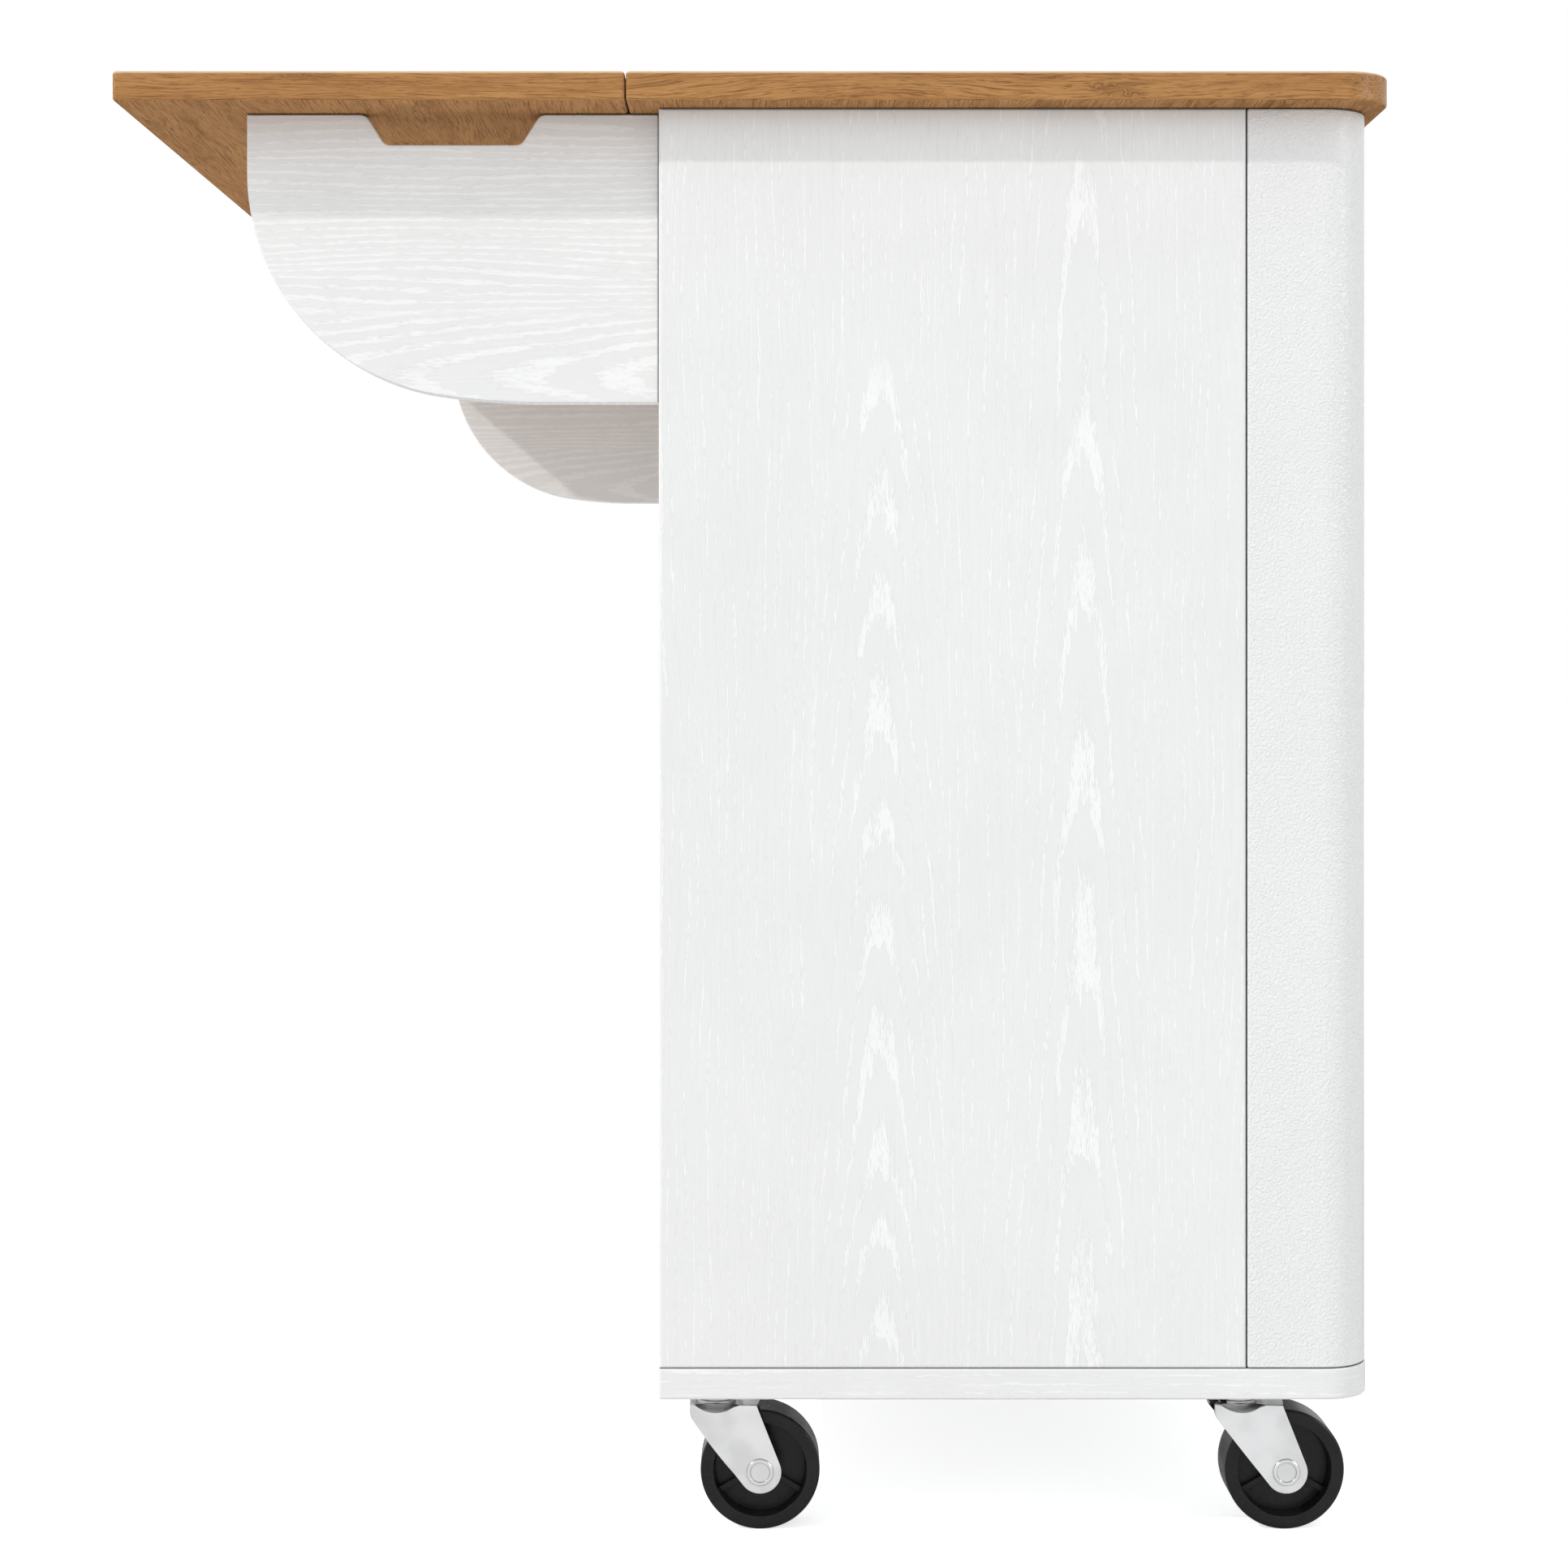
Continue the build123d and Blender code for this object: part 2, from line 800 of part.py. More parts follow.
def make_caster_plates():
    plates = []
    for x, y in caster_spots().values():
        plate = Pos(x, y, 0) * Rot(0, 0, 90) * make_caster_plate()
        plates += [plate, far_copy(plate)]
    return Compound(plates)


def tangent_foot(point, centre, radius, side):
    """Where a line from a point touches a circle, on the chosen side."""
    dx = point[0] - centre[0]
    dz = point[1] - centre[1]
    distance = math.hypot(dx, dz)
    base_angle = math.atan2(dz, dx)
    spread = math.acos(radius / distance)
    angle = base_angle + side * spread
    return centre[0] + radius * math.cos(angle), centre[1] + radius * math.sin(angle)


def fork_profile():
    """The fork leg seen from the side: X along the trail, Y as height."""
    front = -fork_front_reach
    shoulder = (front, head_top - fork_shoulder_drop)
    rear = (fork_rear_reach, head_top)
    axle = (caster_trail, wheel_radius)
    front_foot = tangent_foot(shoulder, axle, fork_end_radius, 1)
    rear_foot = tangent_foot(rear, axle, fork_end_radius, -1)
    lowest = (axle[0], axle[1] - fork_end_radius)
    outline = Polyline(rear_foot, rear, (front, head_top), shoulder, front_foot)
    outline += ThreePointArc(front_foot, lowest, rear_foot)
    face = make_face(outline)
    shoulder_corner = face.vertices().sort_by_distance(shoulder)[0]
    return fillet(shoulder_corner, fork_shoulder_drop)


def head_and_legs(head, half_width, length, crease_radius):
    """The round head with a straight strip toward the rear, its two creases rounded."""
    plan = Circle(head) + Rectangle(length, 2 * half_width, align=(Align.MIN, Align.CENTER))
    crease_x = math.sqrt(head**2 - half_width**2)
    creases = [plan.vertices().sort_by_distance((crease_x, y, 0))[0] for y in (-half_width, half_width)]
    return fillet(creases, crease_radius)


def crown_plan():
    """The crown seen from above, with its bulged rear end."""
    plan = head_and_legs(head_radius, leg_outer_offset, fork_rear_reach, fork_crease_radius)
    rear = fork_rear_reach
    half = leg_outer_offset
    bulge = Line((rear, -half), (rear, half))
    bulge += ThreePointArc((rear, half), (rear + fork_rear_bulge, 0), (rear, -half))
    return plan + make_face(bulge)


def fork_shell():
    """Crown and legs of the fork before the side profile is cut, from the legs' foot up."""
    inner = leg_outer_offset - sheet_thickness
    top = head_top
    bottom = wheel_radius - fork_end_radius
    far = caster_trail + fork_end_radius
    outside = head_and_legs(head_radius, leg_outer_offset, far, fork_crease_radius)
    inside_crease = fork_crease_radius + sheet_thickness
    inside = head_and_legs(head_radius - sheet_thickness, inner, far + cut_margin, inside_crease)
    walls = Pos(0, 0, bottom) * extrude(outside - inside, amount=top - bottom)
    crown = Pos(0, 0, top - sheet_thickness) * extrude(crown_plan(), amount=sheet_thickness)
    return walls, crown


def make_fork(braked):
    """Pressed fork with its riveted axle, swivel on the Z axis, trailing toward +X."""
    top = head_top
    walls, crown = fork_shell()
    side_plane = Plane(origin=(0, 2 * head_radius, 0), x_dir=(1, 0, 0), z_dir=(0, -1, 0))
    cutter = extrude(side_plane * fork_profile(), amount=4 * head_radius)
    beyond = 2 * head_radius
    crown -= block(-beyond, -fork_front_reach, -beyond, beyond, 0, top + cut_margin)
    fork = (walls & cutter) + crown
    fork = ease_fork_top(fork)
    fork = scoop_head(fork)
    hub_radius = race_outer_radius - race_wall - race_clearance
    fork += pillar(0, 0, top - sheet_thickness, caster_height - plate_thickness - fit_gap, hub_radius)
    fork -= pillar(0, 0, top - 2 * sheet_thickness, caster_height, king_pin_radius + king_pin_clearance)
    fork = add_axle(fork)
    if braked:
        fork = cut_for_pedal(fork)
    return fork


def ease_fork_top(fork):
    """Rounds the bend between the crown and the legs."""
    rims = []
    for edge in edges_in_plane(fork, Axis.Z, head_top):
        middle = edge.center()
        behind_front = middle.X > -fork_front_reach + cut_margin
        if behind_front and abs(middle.Y) > leg_outer_offset - touch:
            rims.append(edge)
    return fillet(rims, fork_bend_radius)


def scoop_head(fork):
    """Presses the round head's rim down in a shallow scoop on both sides."""
    inner = head_radius - sheet_thickness
    under = head_top - sheet_thickness
    corner = [(inner, under), (inner - scoop_inset, under), (inner, under - scoop_drop)]
    fill = revolve(Plane.XZ * make_face(Polyline(*corner, close=True)), Axis.Z)
    for side in (-1, 1):
        fill_low, fill_high = sorted((side * scoop_fill_start, side * head_radius))
        room = block(-fork_front_reach, scoop_fill_end, fill_low, fill_high, 0, head_top)
        fork += fill & room
    for side in (-1, 1):
        fork -= head_scoop(side)
    return fork


def head_scoop(side):
    """A wide round bar that dips outward, tangent to the line the rim is pressed along."""
    dip = math.atan2(scoop_drop, scoop_inset)
    depth = scoop_drop * math.cos(dip)
    radius = (scoop_half_width**2 + depth**2) / (2 * depth)
    outward = (0, side * math.cos(dip), -math.sin(dip))
    middle_y = side * (head_radius - scoop_inset + radius * math.sin(dip))
    middle_z = head_top + radius * math.cos(dip)
    plane = Plane(origin=(0, middle_y, middle_z), x_dir=(1, 0, 0), z_dir=outward)
    return plane * Cylinder(radius, 4 * head_radius)


def along_y(x, z, y0, y1, radius):
    """A cylinder along Y between two places."""
    return Pos(x, (y0 + y1) / 2, z) * Rot(90, 0, 0) * Cylinder(radius, abs(y1 - y0))


def add_axle(fork):
    """The axle and its two raised rivet heads, closed on the legs."""
    x = caster_trail
    z = wheel_radius
    fork += along_y(x, z, -leg_outer_offset, leg_outer_offset, axle_radius)
    for side in (-1, 1):
        inner = side * leg_outer_offset
        outer = side * (leg_outer_offset + rivet_head_height)
        head = along_y(x, z, inner, outer, rivet_head_radius)
        head = chamfer(edges_in_plane(head, Axis.Y, outer), rivet_head_chamfer)
        fork += head - along_y(x, z, outer - side * rivet_cup_depth, outer, rivet_cup_radius)
    return fork


def cut_for_pedal(fork):
    """Opens the crown's front edge and dimples the walls for the pedal's trunnions."""
    half = pedal_width / 2 + fit_gap
    front = -fork_front_reach
    low = head_top - sheet_thickness - cut_margin
    high = head_top + cut_margin
    fork -= block(front - cut_margin, front + pedal_notch_depth, -half, half, low, high)
    bite = pedal_trunnion_end() + pedal_trunnion_clearance
    radius = pedal_trunnion_radius + pedal_trunnion_clearance
    return fork - along_y(pedal_pivot_x, pedal_pivot_z, -bite, bite, radius)


def pedal_trunnion_end():
    """How far the trunnions reach into the head's walls."""
    inner_radius = head_radius - sheet_thickness
    return math.sqrt(inner_radius**2 - pedal_pivot_x**2) + pedal_trunnion_bite


def wheel_recess(side, web_face, ring_face):
    """The hollow beside the web, its wall drafted so that it opens outward."""
    depth = ring_face - web_face
    recess = Cone(wheel_web_radius, wheel_ring_radius, depth)
    return Pos(0, side * (web_face + ring_face) / 2, 0) * Rot(-90 * side, 0, 0) * recess


def make_wheel():
    """Moulded wheel on its axle: rounded tread, recessed ribbed web on both sides."""
    half = wheel_width / 2
    hub_half = leg_outer_offset - sheet_thickness - fit_gap
    web_half = wheel_web_thickness / 2
    rib_top = half - wheel_rib_setback
    rib_half = wheel_rib_width / 2
    wheel = along_y(0, 0, -half, half, wheel_radius)
    wheel = fillet(wheel.edges().filter_by(GeomType.CIRCLE), wheel_shoulder_radius)
    for side in (-1, 1):
        wheel -= wheel_recess(side, web_half, half)
    wheel += along_y(0, 0, -hub_half, hub_half, wheel_hub_radius)
    rib = block(0, wheel_ring_radius + cut_margin, -rib_top, rib_top, -rib_half, rib_half)
    for index in range(wheel_rib_count):
        wheel += Rot(0, wheel_rib_start + 360 * index / wheel_rib_count, 0) * rib
    bore_half = hub_half + cut_margin
    wheel -= along_y(0, 0, -bore_half, bore_half, axle_radius + axle_clearance)
    return Pos(caster_trail, 0, wheel_radius) * wheel


def pedal_outline():
    """The pedal's bent strip seen from the side, round its pivot at the origin."""
    front = -fork_front_reach - pedal_pivot_x
    crown_bottom = head_top - sheet_thickness - pedal_pivot_z
    tab_top = caster_height - pedal_tab_gap - pedal_pivot_z
    tab_bottom = tab_top - pedal_thickness
    tip = -pedal_tab_reach - pedal_pivot_x
    lean = pedal_bend_reach / (tab_bottom - crown_bottom)
    strip = pedal_thickness * math.hypot(1, lean)
    points = [
        (-pedal_hub_radius, 0),
        (front, crown_bottom),
        (front - pedal_bend_reach, tab_bottom),
        (tip, tab_bottom),
        (tip, tab_top),
        (front + strip - lean * (tab_top - crown_bottom), tab_top),
        (front + strip, crown_bottom),
        (0, pedal_hub_radius),
    ]
    return make_face(Polyline(*points, close=True))


def make_pedal():
    """Brake pedal: pivot hub with a shoe over the tread, two arms and a foot tab."""
    wheel_dx = caster_trail - pedal_pivot_x
    wheel_dz = wheel_radius - pedal_pivot_z
    distance = math.hypot(wheel_dx, wheel_dz)
    shoe_reach = distance - wheel_radius - pedal_shoe_clearance
    angle = math.atan2(wheel_dz, wheel_dx) - math.radians(pedal_range)
    shoe_arm = shoe_reach - pedal_shoe_radius
    shoe_middle = (shoe_arm * math.cos(angle), shoe_arm * math.sin(angle))
    profile = pedal_outline() + Circle(pedal_hub_radius) + Pos(*shoe_middle) * Circle(pedal_shoe_radius)
    side_plane = Plane(origin=(0, pedal_width / 2, 0), x_dir=(1, 0, 0), z_dir=(0, -1, 0))
    pedal = extrude(side_plane * profile, amount=pedal_width)
    slot_half = pedal_width / 2 - pedal_arm_width
    slot_front = -race_outer_radius - pedal_pivot_x - 2 * fit_gap
    pedal -= block(slot_front, -pedal_hub_radius, -slot_half, slot_half, pedal_slot_rise, caster_height)
    end = pedal_trunnion_end()
    pedal += along_y(0, 0, -end, end, pedal_trunnion_radius)
    return Pos(pedal_pivot_x, 0, pedal_pivot_z) * pedal


def place_caster_piece(piece, spot):
    """Sets a piece of a caster at its swivel axis, trailing toward the front."""
    return Pos(spot[0], spot[1], 0) * Rot(0, 0, -90) * piece


def write(solid, name):
    export_step(solid, f"parts/{name}.step")


def write_pair(solid, name):
    """Writes a near-end piece and its mirror image at the far end."""
    write(solid, f"near_{name}")
    write(far_copy(solid), f"far_{name}")


def write_carcass():
    write(make_worktop(), "worktop")
    write(make_drop_leaf(), "drop_leaf")
    write(make_base_board(), "base_board")
    write(make_back_panel(), "back_panel")
    write(make_top_rail(), "top_rail")
    write_pair(make_end_panel(), "end_panel")
    write_pair(make_corner_post(), "corner_post")
    write_pair(make_partition(), "partition")
    write_pair(make_drawer_rail(), "drawer_rail")
    write_pair(make_runner_batten(), "runner_batten")
    write_pair(make_shelf(panel_inside, partition_outside, door_shelf_height), "shelf")
    lower_rise, upper_rise = centre_shelf_heights()
    write(make_shelf(partition_inside, -partition_inside, lower_rise), "centre_lower_shelf")
    write(make_shelf(partition_inside, -partition_inside, upper_rise), "centre_upper_shelf")
    write(make_shelf_pins(), "shelf_pins")


def write_drawers():
    left, right = drawer_side_limits()
    write(make_runner_rails(), "drawer_runner_rails")
    write_pair(make_drawer_front(), "drawer_front")
    write_pair(make_drawer_side(left, 1), "drawer_outer_side")
    write_pair(make_drawer_side(right, -1), "drawer_inner_side")
    write_pair(make_drawer_back(), "drawer_back")
    write_pair(bottom_panel(0), "drawer_bottom")
    write_pair(make_drawer_runners(), "drawer_runners")
    write_pair(make_drawer_handle(), "drawer_handle")


def write_doors():
    write(make_door_hinge_plates(), "door_hinge_plates")
    write_pair(make_door(), "door")
    write_pair(make_door_handle(), "door_handle")
    write_pair(Compound(make_door_hinge_halves(True)), "door_hinge_leaves")


def write_wings():
    write(make_leaf_hinge_halves(False), "leaf_hinge_plates")
    write(make_leaf_hinge_halves(True), "leaf_hinge_leaves")
    write(make_wing_hinge_plates(), "wing_hinge_plates")
    write_pair(make_wing(), "wing")
    write_pair(Compound(make_wing_hinge_halves(True)), "wing_hinge_leaves")


def write_casters():
    write(make_caster_plates(), "caster_plates")
    for place, spot in caster_spots().items():
        braked = place == "front"
        write_pair(place_caster_piece(make_fork(braked), spot), f"{place}_fork")
        write_pair(place_caster_piece(make_wheel(), spot), f"{place}_wheel")
        if braked:
            write_pair(place_caster_piece(make_pedal(), spot), "brake_pedal")


def main():
    os.makedirs("parts", exist_ok=True)
    write_carcass()
    write_drawers()
    write_doors()
    write_wings()
    write_casters()


main()
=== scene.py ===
import math

import bmesh
import bpy
from mathutils import Matrix, Vector


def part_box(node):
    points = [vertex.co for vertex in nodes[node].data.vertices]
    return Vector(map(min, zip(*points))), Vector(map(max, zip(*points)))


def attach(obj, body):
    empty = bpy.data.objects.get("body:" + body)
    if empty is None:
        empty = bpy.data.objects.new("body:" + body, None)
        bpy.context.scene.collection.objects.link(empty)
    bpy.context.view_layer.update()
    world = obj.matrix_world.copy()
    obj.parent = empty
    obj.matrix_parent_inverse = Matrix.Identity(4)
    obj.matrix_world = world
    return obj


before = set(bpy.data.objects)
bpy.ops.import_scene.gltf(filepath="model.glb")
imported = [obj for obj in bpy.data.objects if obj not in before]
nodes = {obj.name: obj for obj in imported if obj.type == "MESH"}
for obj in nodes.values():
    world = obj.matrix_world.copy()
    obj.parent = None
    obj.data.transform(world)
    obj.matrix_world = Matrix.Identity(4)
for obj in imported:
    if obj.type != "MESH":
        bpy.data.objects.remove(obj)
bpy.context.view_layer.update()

# A kitchen island with a raised drop leaf, seen square on to its near end.
# Metres, +Z up. The length runs along X, the doors face -Y and the leaf is on +Y.

ENDS = ("near", "far")

# Camera, as the photograph was taken
EYE = Vector((-2.427, -0.0043, 0.55205))
FOCAL_PIXELS = 3580.0
PHOTO_PIXELS = 1932.0
VANISHING_X = 954.0
VANISHING_Y = 812.0
SENSOR = 36.0

# Light
SKY_HORIZON = 1.395
SKY_ZENITH = 0.62
SKY_TINT = (0.982, 1.0, 1.014)
SUN_TRAVEL = Vector((1.0, -1.84, -1.6))
SUN_STRENGTH = 1.18
SUN_TINT = (1.0, 0.975, 0.945)
SUN_SPREAD = math.radians(1.2)
FLOOR_HALF_SIZE = 30.0
FLOOR_ALBEDO = 0.64
FLOOR_ALBEDO_SEEN = 0.80
FLOOR_GLOW_SEEN = 0.68
FLOOR_GLOW_MIRRORED = 0.06
SOFTBOX_PLACE = Vector((-2.6, -4.2, 2.3))
SOFTBOX_TARGET = Vector((-0.6, -0.35, 0.6))
SOFTBOX_SIZE = (0.22, 2.0)
SOFTBOX_POWER = 65.0

# Width of the bright line along an edge, and how far painted shade reaches out of a corner, metres
EDGE_GLINT = 0.0007
CREASE_STEEL = 0.0016
CREASE_PLASTIC = 0.006
CREASE_BOARD = 0.0030
# Colours of the painted shade laid into narrow corners, linear
BOARD_PAINTED_SHADE = (0.10, 0.10, 0.10)
STEEL_PAINTED_SHADE = (0.05, 0.048, 0.045)

# Screws, metres; each kind has its radius and its height
SCREW_SIDES = 24
CROSS_ARM = 0.52
CROSS_WIDTH = 0.18
CROSS_TAPER = 0.7
SCREW_FACE = 0.84
PLATE_SCREW = (0.0030, 0.0013)
LEAF_SCREW = (0.0026, 0.0011)
WING_SCREW = (0.0026, 0.0005)
HANDLE_SCREW = (0.0040, 0.0018)
PLATE_SCREW_OFFSETS = (0.023, 0.025)
PLATE_SCREW_SEAT = 0.0890
CASTER_SWIVEL = {"back": 0.0328, "front": -0.3000}
LEAF_PLATE = 0.0012
LEAF_HINGES = (-0.250, 0.0, 0.250)
LEAF_SCREW_OFFSETS = (0.020, 0.0105)
WING_PLATE = 0.0010
WING_SCREW_REACH = 0.0165
WING_HINGE_MIDDLE = 0.035
WING_SCREW_SPREAD = 0.012
HANDLE_POST_REACH = 0.048

# Colours, linear
WHITE_FOIL = (0.846, 0.845, 0.841)
WHITE_PORE = (0.940, 0.939, 0.936)
WHITE_INSIDE = (0.83, 0.83, 0.825)
WHITE_POST = (0.865, 0.864, 0.862)
# Colour of the painted highlight on the oak's upward-facing rounded rim
OAK_RIM_HIGHLIGHT = (0.80, 0.60, 0.38)
OAK_LIGHT = (0.66, 0.37, 0.155)
OAK_PALE = (0.53, 0.272, 0.104)
OAK_MID = (0.450, 0.216, 0.078)
OAK_DARK = (0.17, 0.066, 0.019)
OAK_EDGE_TONE = (0.90, 0.86, 0.735)
BLACK_DEEP = (0.0065, 0.0065, 0.007)
BLACK_WORN = (0.010, 0.010, 0.0105)
BLACK_PAINTED_SHADE = (0.002, 0.002, 0.002)

# Grain of the pressed foil, metres; each noise has its size across and along the grain
FOIL_DRIFT = (0.045, 0.35)
FOIL_DRIFT_REACH = 0.030
FOIL_WAVER = (0.0026, 0.018)
FOIL_WAVER_REACH = 0.0030
FOIL_PORES = (0.00048, 0.0062)
FOIL_BREAKS = (0.0060, 0.060)
FOIL_STREAKS = (0.0010, 0.090)
FOIL_DASHES = (0.0007, 0.0050)
FOIL_SKIN_DEPTH = 0.00002
FOIL_PORE_DEPTH = 0.00006
LINE_SHARE = 0.42
RING_SPACING = 0.0052
RING_TURN = 50.0
RING_FILL = 0.46
RING_FILL_BOLD = 0.80
FIGURE_FLAT = 0.030
FIGURE_WIDTH = 0.040
FIGURE_RIM = 0.006
FIGURE_CORE = (0.004, 0.022)
FIGURE_FADE = 0.05
FIGURE_SWAY = 0.010
FIGURE_SWAY_SIZE = 0.16

# Pebbled skin of the posts: noise scales per metre, and depth in metres
PEBBLE_SCALE = 600.0
PEBBLE_FINE_SCALE = 1700.0
PEBBLE_DEPTH = 0.00031

# Grain of the oak, metres; each noise has its size across and along the grain
OAK_RING = 0.014
OAK_KNOTS = (0.015, 0.060)
OAK_SWAY = (0.045, 0.30)
OAK_SWAY_REACH = 0.035
OAK_WAVER = (0.006, 0.045)
OAK_WAVER_REACH = 0.0035
OAK_SWIRL = (0.006, 0.010)
OAK_SWIRL_REACH = 0.014
OAK_BROAD = (0.010, 0.20)
OAK_LINES = (0.0010, 0.050)
OAK_STREAKS = (0.0009, 0.024)
OAK_SHORT_PORES = (0.0006, 0.010)
OAK_LONG_PORES = (0.0010, 0.028)
OAK_PLANK_PORES = (0.0011, 0.12)
OAK_DEPTH = 0.00030

# Weave pressed into the drawer bottoms, radians per metre
HARDBOARD_WEAVE = 2600.0

# Share of a normal beyond which a face counts as square to an axis
SQUARE_ON = 0.7

# The axis that the grain runs along, on faces square to X, Y and Z
UPRIGHT = {"x": "z", "y": "z", "z": "x"}
LEVEL = {"x": "y", "y": "x", "z": "x"}


class Graph:
    """A small writer of shader nodes, so that a material reads as a formula."""

    def __init__(self, name):
        self.material = bpy.data.materials.new(name)
        self.material.use_nodes = True
        self.tree = self.material.node_tree
        self.tree.nodes.clear()

    def node(self, kind, values=None, **settings):
        made = self.tree.nodes.new(kind)
        for key, value in settings.items():
            setattr(made, key, value)
        for key, value in (values or {}).items():
            self.feed(made.inputs[key], value)
        return made

    def feed(self, socket, value):
        if isinstance(value, bpy.types.NodeSocket):
            self.tree.links.new(value, socket)
        else:
            socket.default_value = value

    def math(self, operation, a, b=0.0):
        return self.node("ShaderNodeMath", {0: a, 1: b}, operation=operation).outputs[0]

    def add(self, a, b):
        return self.math("ADD", a, b)

    def sub(self, a, b):
        return self.math("SUBTRACT", a, b)

    def mul(self, a, b):
        return self.math("MULTIPLY", a, b)

    def ramp(self, value, low, high, out_low=0.0, out_high=1.0):
        """A smooth step of a value between two limits."""
        made = self.node("ShaderNodeMapRange", interpolation_type="SMOOTHSTEP")
        for key, part in enumerate((value, low, high, out_low, out_high)):
            self.feed(made.inputs[key], part)
        return made.outputs[0]

    def mix(self, share, a, b):
        """A mix of two numbers."""
        made = self.node("ShaderNodeMix", data_type="FLOAT")
        for key, part in zip((0, 2, 3), (share, a, b)):
            self.feed(made.inputs[key], part)
        return made.outputs[0]

    def blend(self, share, a, b, way="MIX"):
        """A mix of two colours."""
        made = self.node("ShaderNodeMix", data_type="RGBA", blend_type=way)
        for key, part in zip((0, 6, 7), (share, a, b)):
            if isinstance(part, tuple):
                part = (*part, 1.0)
            self.feed(made.inputs[key], part)
        return made.outputs[2]

    def axes(self):
        """The place on the piece, as three numbers in metres."""
        place = self.node("ShaderNodeTexCoord").outputs["Object"]
        split = self.node("ShaderNodeSeparateXYZ", {0: place})
        return split.outputs[0], split.outputs[1], split.outputs[2]

    def facing(self):
        """How far the surface faces along X, Y and Z, from 0 to 1."""
        normal = self.node("ShaderNodeTexCoord").outputs["Normal"]
        split = self.node("ShaderNodeSeparateXYZ", {0: normal})
        return [self.math("ABSOLUTE", part) for part in split.outputs]

    def point(self, x, y, z):
        return self.node("ShaderNodeCombineXYZ", {0: x, 1: y, 2: z}).outputs[0]

    def noise(self, place, scale, detail=2.0, rough=0.5, distortion=0.0):
        values = {"Vector": place, "Scale": scale, "Detail": detail, "Roughness": rough}
        made = self.node("ShaderNodeTexNoise", values)
        made.inputs["Distortion"].default_value = distortion
        return made.outputs[0]

    def grain(self, place, size, detail, rough=0.5):
        """Noise drawn out to one size across and along the grain."""
        across, along, depth = place
        across_size, along_size = size
        stretched = self.point(
            self.mul(across, 1.0 / across_size),
            self.mul(along, 1.0 / along_size),
            self.mul(depth, 1.0 / across_size),
        )
        return self.noise(stretched, 1.0, detail, rough)

    def centred(self, noise, reach):
        """A noise turned into a shift to either side of zero."""
        return self.mul(self.sub(noise, 0.5), reach)

    def bump(self, height, distance, under=None):
        values = {"Height": height, "Distance": distance, "Strength": 1.0}
        made = self.node("ShaderNodeBump", values)
        if under is not None:
            self.feed(made.inputs["Normal"], under)
        return made.outputs[0]

    def crease(self, reach):
        """How far a point lies in a narrow corner, from 0 to 1."""
        made = self.node("ShaderNodeAmbientOcclusion", {"Distance": reach}, samples=6)
        return self.ramp(made.outputs["AO"], 0.45, 0.85, 1.0, 0.0)

    def shaded_in_corners(self, colour, share, reach, painted_shade):
        """A colour that turns to painted shade in narrow corners."""
        return self.blend(self.mul(self.crease(reach), share), colour, painted_shade)

    def mottled(self, colour, cloud, low, high):
        """A colour that a cloud makes a little darker and lighter."""
        tone = self.ramp(cloud, 0.3, 0.7, low, high)
        return self.blend(1.0, colour, self.point(tone, tone, tone), "MULTIPLY")

    def eased(self, radius):
        """The surface normal with its sharp edges rounded."""
        return self.node("ShaderNodeBevel", {"Radius": radius}, samples=6).outputs[0]

    def finish(self, colour, roughness, normal=None, **constants):
        """Ends the graph in one surface shader, its constant values on its own sockets."""
        shader = self.node("ShaderNodeBsdfPrincipled")
        if isinstance(colour, tuple):
            colour = (*colour, 1.0)
        self.feed(shader.inputs["Base Color"], colour)
        self.feed(shader.inputs["Roughness"], roughness)
        if normal is not None:
            self.feed(shader.inputs["Normal"], normal)
        for key, value in constants.items():
            shader.inputs[key.replace("_", " ")].default_value = value
        self.node("ShaderNodeOutputMaterial", {"Surface": shader.outputs[0]})
        return self.material


def board_axes(graph, layout):
    """Across, along and depth of the grain, by the way each face of a board looks.

    The layout names, for faces square to X, Y and Z, the axis the grain runs along."""
    place = dict(zip("xyz", graph.axes()))
    facing = dict(zip("xyz", graph.facing()))
    across = along = depth = None
    for face in "xyz":
        run = layout[face]
        side = [axis for axis in "xyz" if axis not in (face, run)][0]
        trio = (place[side], place[run], place[face])
        if across is None:
            across, along, depth = trio
            continue
        share = graph.math("GREATER_THAN", facing[face], SQUARE_ON)
        across = graph.mix(share, across, trio[0])
        along = graph.mix(share, along, trio[1])
        depth = graph.mix(share, depth, trio[2])
    return across, along, depth


def pressed_grain(graph, place, figures, seed, fill):
    """Where the pressed foil has its pale pore lines, from 0 to 1.

    Plain lines run along the grain. Each figure is a column of nested pointed arches."""
    across, along, depth = place
    deep_place = (across, along, graph.add(depth, seed))
    torn = graph.centred(graph.grain(place, FOIL_WAVER, 2.0), FOIL_WAVER_REACH)
    drift = graph.centred(graph.grain(place, FOIL_DRIFT, 1.0), FOIL_DRIFT_REACH)
    bent = graph.add(across, drift)
    pores = graph.grain(deep_place, FOIL_PORES, 3.0, 0.7)
    breaks = graph.grain(deep_place, FOIL_BREAKS, 2.0)
    marks = ring_marks(graph, graph.add(bent, torn), pores, breaks, fill, RING_TURN + seed)
    for figure in figures:
        inside, arches = arch_marks(graph, across, along, torn, pores, breaks, figure, seed, fill)
        marks = graph.mix(inside, marks, arches)
    streaks = graph.ramp(graph.grain((bent, *deep_place[1:]), FOIL_STREAKS, 2.0, 0.6), 0.50, 0.70)
    dashes = graph.ramp(graph.grain(deep_place, FOIL_DASHES, 2.0, 0.6), 0.35, 0.60)
    lines = graph.mul(graph.mul(streaks, dashes), LINE_SHARE)
    return graph.math("MAXIMUM", marks, lines)


